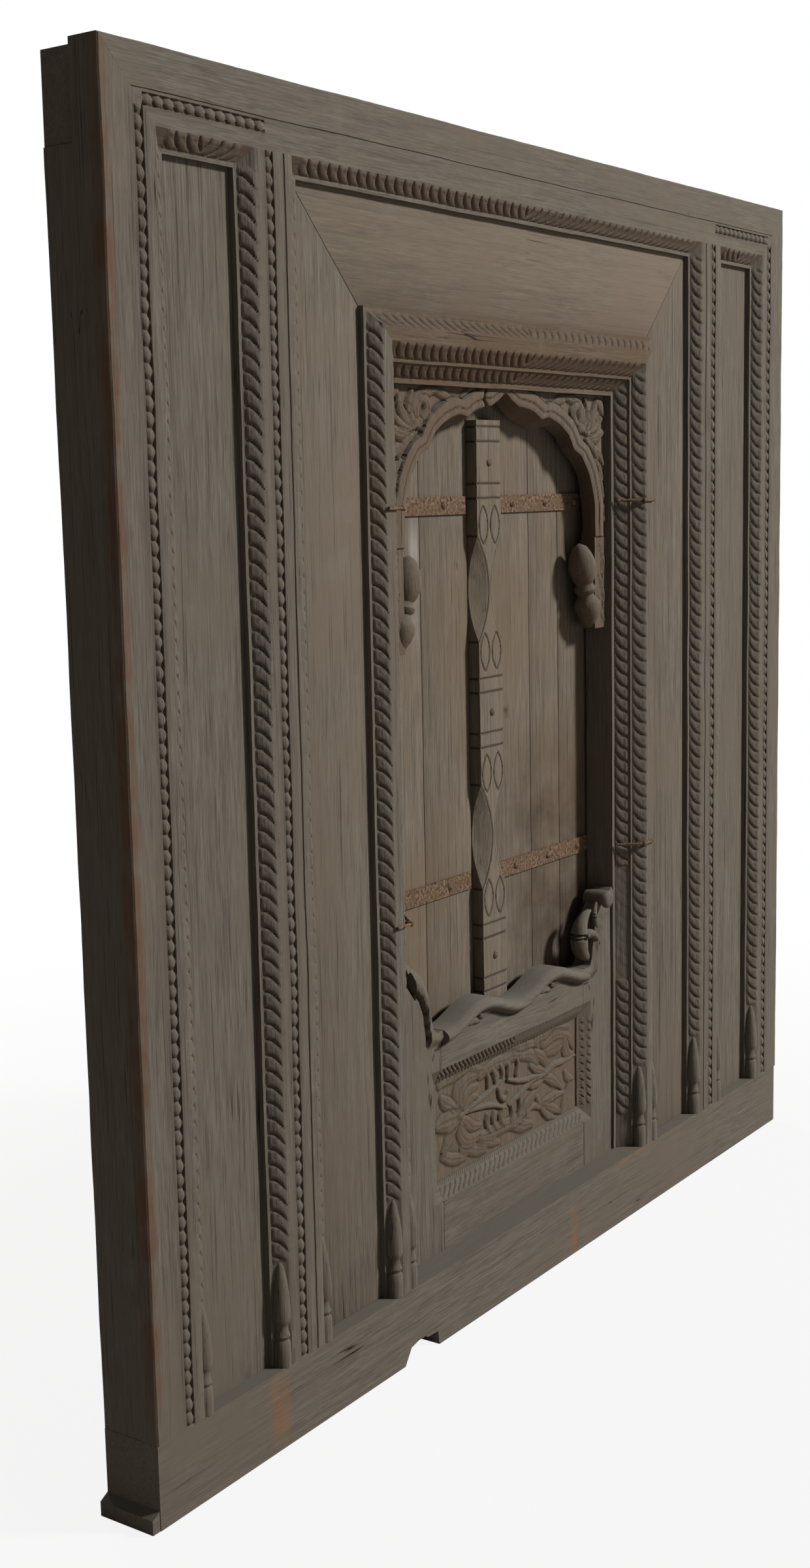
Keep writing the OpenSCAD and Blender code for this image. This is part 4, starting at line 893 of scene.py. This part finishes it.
# Leaves of the carved field: half width, height and path, from its middle
fieldLeaves = (
    (10, 3.5, ((-208, 74), (-160, 80), (-112, 76), (-68, 62))),
    (10, 3.5, ((-18, 70), (20, 79), (58, 74), (90, 64))), (9, 3.5, ((86, 72), (130, 79), (196, 72))),
    (11, 3.5, ((-200, -46), (-168, -60), (-136, -66))), (10, 3.5, ((-146, -48), (-112, -62), (-78, -72))),
    (10, 3.5, ((-94, -52), (-60, -62), (-32, -73))), (12, 4.0, ((-14, -48), (28, -58), (74, -73))),
    (9, 3.5, ((198, -34), (184, -58), (170, -76))),
    (13, 4.0, ((-152, 22), (-160, 42), (-140, 62), (-104, 62))),
    (12, 4.0, ((-152, -4), (-148, -26), (-124, -42), (-90, -44))),
    (9, 4.5, ((-150, 18), (-128, 40), (-98, 44))), (7, 4.5, ((-142, 16), (-120, 28), (-98, 26))),
    (9, 4.0, ((-142, -2), (-118, -18), (-92, -26))), (12, 4.5, ((-158, 16), (-180, 32), (-204, 52))),
    (12, 4.5, ((-158, 2), (-178, -14), (-200, -38))), (16, 5.0, ((-156, 10), (-188, 9), (-216, 8))),
    (11, 4.0, ((-92, 60), (-44, 66), (6, 66), (52, 58))), (10, 4.0, ((40, 58), (68, 52), (92, 34))),
    (11, 4.0, ((-88, -46), (-44, -46), (4, -50), (52, -44))), (10, 4.0, ((44, -42), (66, -26), (88, -20))),
    (11, 4.0, ((112, 58), (150, 66), (190, 56), (212, 32))), (11, 3.5, ((118, 42), (150, 42), (182, 46))),
    (9, 4.5, ((182, 50), (188, 26), (214, 14))), (9, 4.5, ((118, 26), (106, 42), (86, 52))),
    (8, 4.5, ((114, 14), (92, 22), (68, 34))), (9, 4.5, ((109, 4), (140, -8), (172, -32))),
    (7, 4.5, ((106, -2), (84, -8), (62, -1))), (9, 4.5, ((106, -46), (140, -40), (176, -44))),
    (9, 4.5, ((106, -46), (134, -58), (162, -72))), (7, 4.5, ((104, -48), (118, -66), (142, -78))),
    (7, 4.5, ((102, -42), (94, -34), (84, -24))), (6, 4.5, ((100, -46), (78, -40), (56, -48))),
    (7, 4.0, ((184, -8), (190, -22), (212, -26))), (6, 5.5, ((-70, 60), (-62, 48), (-68, 34))),
    (6, 5.5, ((-50, 60), (-42, 48), (-46, 34))), (6, 5.5, ((-28, 60), (-20, 48), (-24, 36))),
    (6, 5.5, ((-8, 60), (0, 48), (-4, 36))), (6, 5.5, ((24, 58), (30, 46), (22, 32))),
    (6, 5.5, ((-72, -16), (-76, -30), (-62, -44))), (6, 5.5, ((-48, -16), (-54, -30), (-42, -44))),
    (6, 5.5, ((-26, -16), (-32, -30), (-20, -44))), (6, 5.5, ((4, -16), (10, -30), (0, -44))),
    (6, 5.5, ((30, -10), (34, -28), (24, -42))), (5, 6.0, ((-130, 10), (-94, 18), (-58, 24), (-18, 35))),
    (5, 6.0, ((-130, 8), (-86, 4), (-46, -4), (-14, -15))),
    (5, 6.0, ((108, 9), (62, 12), (28, 18), (-6, 33))), (5, 6.0, ((108, 8), (60, 4), (28, -4), (-6, -15))),
    (6, 6.0, ((-36, 20), (-28, 7), (-12, 0), (-6, 12))), (7, 6.0, ((112, 10), (152, 14), (214, 15))),
    (8, 7.0, ((-152, 9), (-134, 11))), (8, 7.0, ((96, 9), (112, 9))))


def carvedField():
    p = parapet
    bm = newMesh()
    halfW, middle, tall = p["half"], (p["low"] + p["high"]) / 2, (p["high"] - p["low"]) / 2

    def outside(x, z):
        return np.maximum(np.abs(x) - halfW - 7, np.abs(z - middle) - tall - 7)

    def heights(x, z):
        sway = np.array([noise.noise_vector(Vector((px * 0.03, 0.4, pz * 0.03))) for px, pz in zip(x, z)])
        carving = Carving(x + 5 * sway[:, 0], z - middle + 5 * sway[:, 1], -1.0)
        for wide, tall, path in fieldLeaves:
            carving.raiseTo(pathReach(carving.x, carving.z, path, 1.2 * wide), tall,
                            0.32 if wide > 7 else 0.12)
        # The painted shade in the field's hollows is made lighter
        carving.cavityShade *= 0.75
        return carving

    relief(bm, (-halfW - 7, halfW + 7, p["low"] - 7, p["high"] + 7), p["fieldStep"], outside, heights,
           p["field"] + 2, p["back"])
    wear(bm.verts, "field")
    addPiece("parapet_carved_panel", bm, carvedMaterial, "frame", ["parapet_carved_panel"])


topParapetRail()
bottomParapetRail()
parapetStile(-1, "parapet_left_stile")
parapetStile(1, "parapet_right_stile")
carvedField()
print("stage: parapet carved")

# Astragal on the right leaf
strip = dict(left=-45.0, right=25.0, low=130.0, high=1416.0, front=77.0, back=97.0,
             blocks=(545.3, 950.3, 1349.4), blockTall=112.0, band=12.0, reach=32.0, waist=0.64, petal=0.23,
             petalWide=26.0, petalFrom=17.0, step=1.7)


def lensReach(x, z, px, low, length, width):
    middle = low + length / 2
    radius = (length ** 2 + width ** 2) / (4 * width)
    shift = radius - width / 2
    return np.maximum(np.hypot(x - px - shift, z - middle), np.hypot(x - px + shift, z - middle)) - radius


def astragalBoard():
    a = strip
    bm = newMesh()
    units = [(low + a["blockTall"] / 2 + a["band"], high - a["blockTall"] / 2 - a["band"])
             for low, high in zip(a["blocks"], a["blocks"][1:])]
    middle = (a["left"] + a["right"]) / 2

    def outside(x, z):
        return np.maximum.reduce([a["left"] - x, x - a["right"], a["low"] - z, z - a["high"]])

    def heights(x, z):
        carving = Carving(x, z, 0.0)
        thick = a["back"] - a["front"]
        for z0 in a["blocks"]:
            for edge in (-33, -a["blockTall"] / 2, 33, a["blockTall"] / 2):
                carving.cut(z - z0 - edge, 1.6, 1.8)
        for low, high in units:
            half = 0.5 * a["waist"] * (high - low)
            slope = math.atan2(thick, a["reach"])
            sink = a["reach"] * math.sin(slope)
            radius = (half ** 2 + sink ** 2) / (2 * sink)
            back = radius - np.sqrt(np.clip(radius ** 2 - (z - (low + high) / 2) ** 2, 0, None))
            line = (a["right"] - a["left"]) / 2 - a["reach"] + back / math.sin(slope)
            past = np.abs(x - middle) - line
            rough = np.array([noise.noise(Vector((px * 0.05, pz * 0.025, 1.7))) for px, pz in zip(x, z)])
            drop = np.clip(past * math.tan(slope), 0, thick - 0.6)
            carving.height -= drop - 0.9 * rough * np.clip(drop / 4, 0, 1)
            inside = (z > low) & (z < high)
            carving.cut(np.where(inside, past, 99.0), 1.2, 1.4)
            petal = a["petal"] * (high - low)
            for foot in (low, high - petal):
                for offset in (-a["petalFrom"], a["petalFrom"]):
                    carving.cut(lensReach(x, z, middle + offset, foot, petal, a["petalWide"]), 1.2, 2.2)
        return carving

    relief(bm, (a["left"], a["right"], a["low"], a["high"]), a["step"], outside, heights, a["front"],
           a["back"])
    wear(bm.verts, "astragal")
    addPiece("astragal", bm, astragalMaterial, "right_leaf", ["astragal"])


astragalBoard()
print("stage: astragal carved")

# Leaf planks: worn arrises make the seams read
plankSpans = dict(left_leaf_outer_plank=(-345.0, -180.45), left_leaf_inner_plank=(-179.45, -46.97),
                  right_leaf_inner_plank=(-44.97, 141.64), right_leaf_middle_plank=(142.64, 236.5),
                  right_leaf_outer_plank=(237.5, 345.0))
plankShape = dict(front=97.0, back=119.0, low=104.0, high=1478.0, arris=1.6)


def easeEdges(bm, arris):
    bmesh.ops.bevel(bm, geom=bm.edges[:], offset=arris * mm, affect="EDGES", segments=2, profile=0.5,
                    material=-1)


def plank(name, left, right):
    p = plankShape
    bm = newMesh()
    made = bmesh.ops.create_cube(bm, size=1.0)["verts"]
    bmesh.ops.scale(bm, verts=made,
                    vec=Vector((right - left, p["back"] - p["front"], p["high"] - p["low"])) * mm)
    bmesh.ops.translate(bm, verts=made, vec=Vector(((left + right) / 2, (p["front"] + p["back"]) / 2 + frontY,
                                                    (p["low"] + p["high"]) / 2)) * mm)
    easeEdges(bm, p["arris"])
    uprights = [e for e in bm.edges if abs(e.verts[0].co.z - e.verts[1].co.z) > 0.5]
    bmesh.ops.subdivide_edges(bm, edges=uprights, cuts=60, use_grid_fill=True)
    wear(bm.verts, "plank")
    body = "left_leaf" if left < -46 else "right_leaf"
    addPiece(name, bm, leafMaterial, body, [name])


for plankName, (left, right) in plankSpans.items():
    plank(plankName, left, right)
print("stage: planks made")

# Surround boards: worn arrises show the mitres
surround = dict(near=418.3, far=577.7, low=1554.3, high=1719.7, front=24.0, back=40.0, arris=1.8)


def surroundBoard(name, corners, material):
    b = surround
    bm = newMesh()
    face = bm.faces.new([bm.verts.new(Vector((x, b["back"] + frontY, z)) * mm) for x, z in corners])
    front = bmesh.ops.extrude_face_region(bm, geom=[face], use_keep_orig=True)["geom"]
    bmesh.ops.translate(bm, verts=[v for v in front if isinstance(v, bmesh.types.BMVert)],
                        vec=Vector((0, b["front"] - b["back"], 0)) * mm)
    easeEdges(bm, b["arris"])
    addPiece(name, bm, material, "frame", [name])


near, far, low, high = (surround[key] for key in ("near", "far", "low", "high"))
for side, word in ((-1, "left"), (1, "right")):
    surroundBoard("surround_" + word + "_board", [(side * near, size["sill"]), (side * far, size["sill"]),
                                                  (side * far, high), (side * near, low)], boardMaterial)
surroundBoard("surround_top_board", [(-near, low), (near, low), (far, high), (-far, high)], boardAcross)
print("stage: surround boards made")

# Nodes that keep their solid shape take a finished material
for name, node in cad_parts.items():
    look = upMaterial
    if name == "sill":
        look = sillMaterial
    elif "strap" in name or "nails" in name or name == "hinge_pins":
        look = rust
    elif "leaf" in name:
        look = leafMaterial
    node.data.materials.clear()
    node.data.materials.append(look)
print("stage: solids finished")

# Floor, light and camera
scene = bpy.context.scene
scene.view_settings.view_transform = "Standard"


def backgroundRays(tree, share):
    # Rays that see the white background
    seen = addNode(tree, "ShaderNodeLightPath", {}, "Is Camera Ray")
    for kind in ("Is Glossy Ray", "Is Transmission Ray"):
        ray = addNode(tree, "ShaderNodeLightPath", {}, kind)
        seen = addNode(tree, "ShaderNodeMath", {0: seen, 1: ray}, operation="MAXIMUM")
    return addNode(tree, "ShaderNodeMath", {0: seen, 1: share}, operation="MULTIPLY")


# The floor keeps some of the shadow near the window and is white further out, in metres
studio = dict(floorHalf=12.0, floorGrey=0.4, shadeNear=1.0, shadeFar=2.6, white=0.88, fill=0.1)
floorMaterial = bpy.data.materials.new("pale_floor")
floorMaterial.use_nodes = True
floorTree = floorMaterial.node_tree
floorShader = floorTree.nodes["Principled BSDF"]
floorShader.inputs["Base Color"].default_value = [studio["floorGrey"]] * 3 + [1]
floorShader.inputs["Roughness"].default_value = 1.0
whiteLight = addNode(floorTree, "ShaderNodeEmission", {"Color": (1, 1, 1, 1), "Strength": 1.0})
floorPlace = addNode(floorTree, "ShaderNodeTexCoord", {}, "Object")
away = addNode(floorTree, "ShaderNodeVectorMath", {0: floorPlace}, "Value", operation="LENGTH")
share = addNode(floorTree, "ShaderNodeMapRange", {
    "Value": away, "From Min": studio["shadeNear"], "From Max": studio["shadeFar"],
    "To Min": studio["white"]})
floorMix = addNode(floorTree, "ShaderNodeMixShader", {
    0: backgroundRays(floorTree, share), 1: floorShader.outputs[0], 2: whiteLight})
floorTree.links.new(floorMix, floorTree.nodes["Material Output"].inputs["Surface"])
floorBm = bmesh.new()
bmesh.ops.create_grid(floorBm, x_segments=1, y_segments=1, size=studio["floorHalf"])
floorMesh = bpy.data.meshes.new("floor")
floorBm.to_mesh(floorMesh)
floorBm.free()
floorMesh.materials.append(floorMaterial)
floor = bpy.data.objects.new("floor", floorMesh)
floor.location.z = -0.001
scene.collection.objects.link(floor)

world = bpy.data.worlds.new("studio")
scene.world = world
world.use_nodes = True
worldTree = world.node_tree
fill = addNode(worldTree, "ShaderNodeBackground", {"Color": (1.0, 0.88, 0.74, 1), "Strength": studio["fill"]})
white = addNode(worldTree, "ShaderNodeBackground", {"Color": (1, 1, 1, 1), "Strength": 1.0})
worldMix = addNode(worldTree, "ShaderNodeMixShader", {0: backgroundRays(worldTree, 1.0), 1: fill, 2: white})
worldTree.links.new(worldMix, worldTree.nodes["World Output"].inputs["Surface"])


def areaLight(name, place, target, width, power, colour):
    data = bpy.data.lights.new(name, "AREA")
    data.shape = "DISK"
    data.size = width
    data.energy = power
    data.color = colour
    lamp = bpy.data.objects.new(name, data)
    lamp.location = place
    lamp.rotation_euler = (Vector(target) - Vector(place)).to_track_quat("-Z", "Y").to_euler()
    scene.collection.objects.link(lamp)


areaLight("key", (5.4, -9.1, 7.6), (0, 0, 0.9), 1.9, 2060.0, (1.0, 1.0, 1.0))
areaLight("back", (2.8, 5.0, 3.0), (0, 0, 0.9), 2.6, 260.0, (1.0, 0.97, 0.93))

cameraFit = dict(turn=(0.13104324, -0.95900664, -0.09238319), place=(-2.60245, -1.61084, 1.30701),
                 lens=43.602)
turn = Vector(cameraFit["turn"])
base = Matrix(((1, 0, 0), (0, 0, -1), (0, 1, 0)))
rows = Matrix.Rotation(turn.length, 3, turn.normalized()) @ base
view = Matrix((rows[0], -rows[1], -rows[2])).transposed()
cameraData = bpy.data.cameras.new("camera")
cameraData.lens = cameraFit["lens"]
cameraData.sensor_width = 36.0
camera = bpy.data.objects.new("camera", cameraData)
camera.matrix_world = Matrix.Translation(Vector(cameraFit["place"])) @ view.to_4x4()
scene.collection.objects.link(camera)
scene.camera = camera
print("stage: lights and camera set")
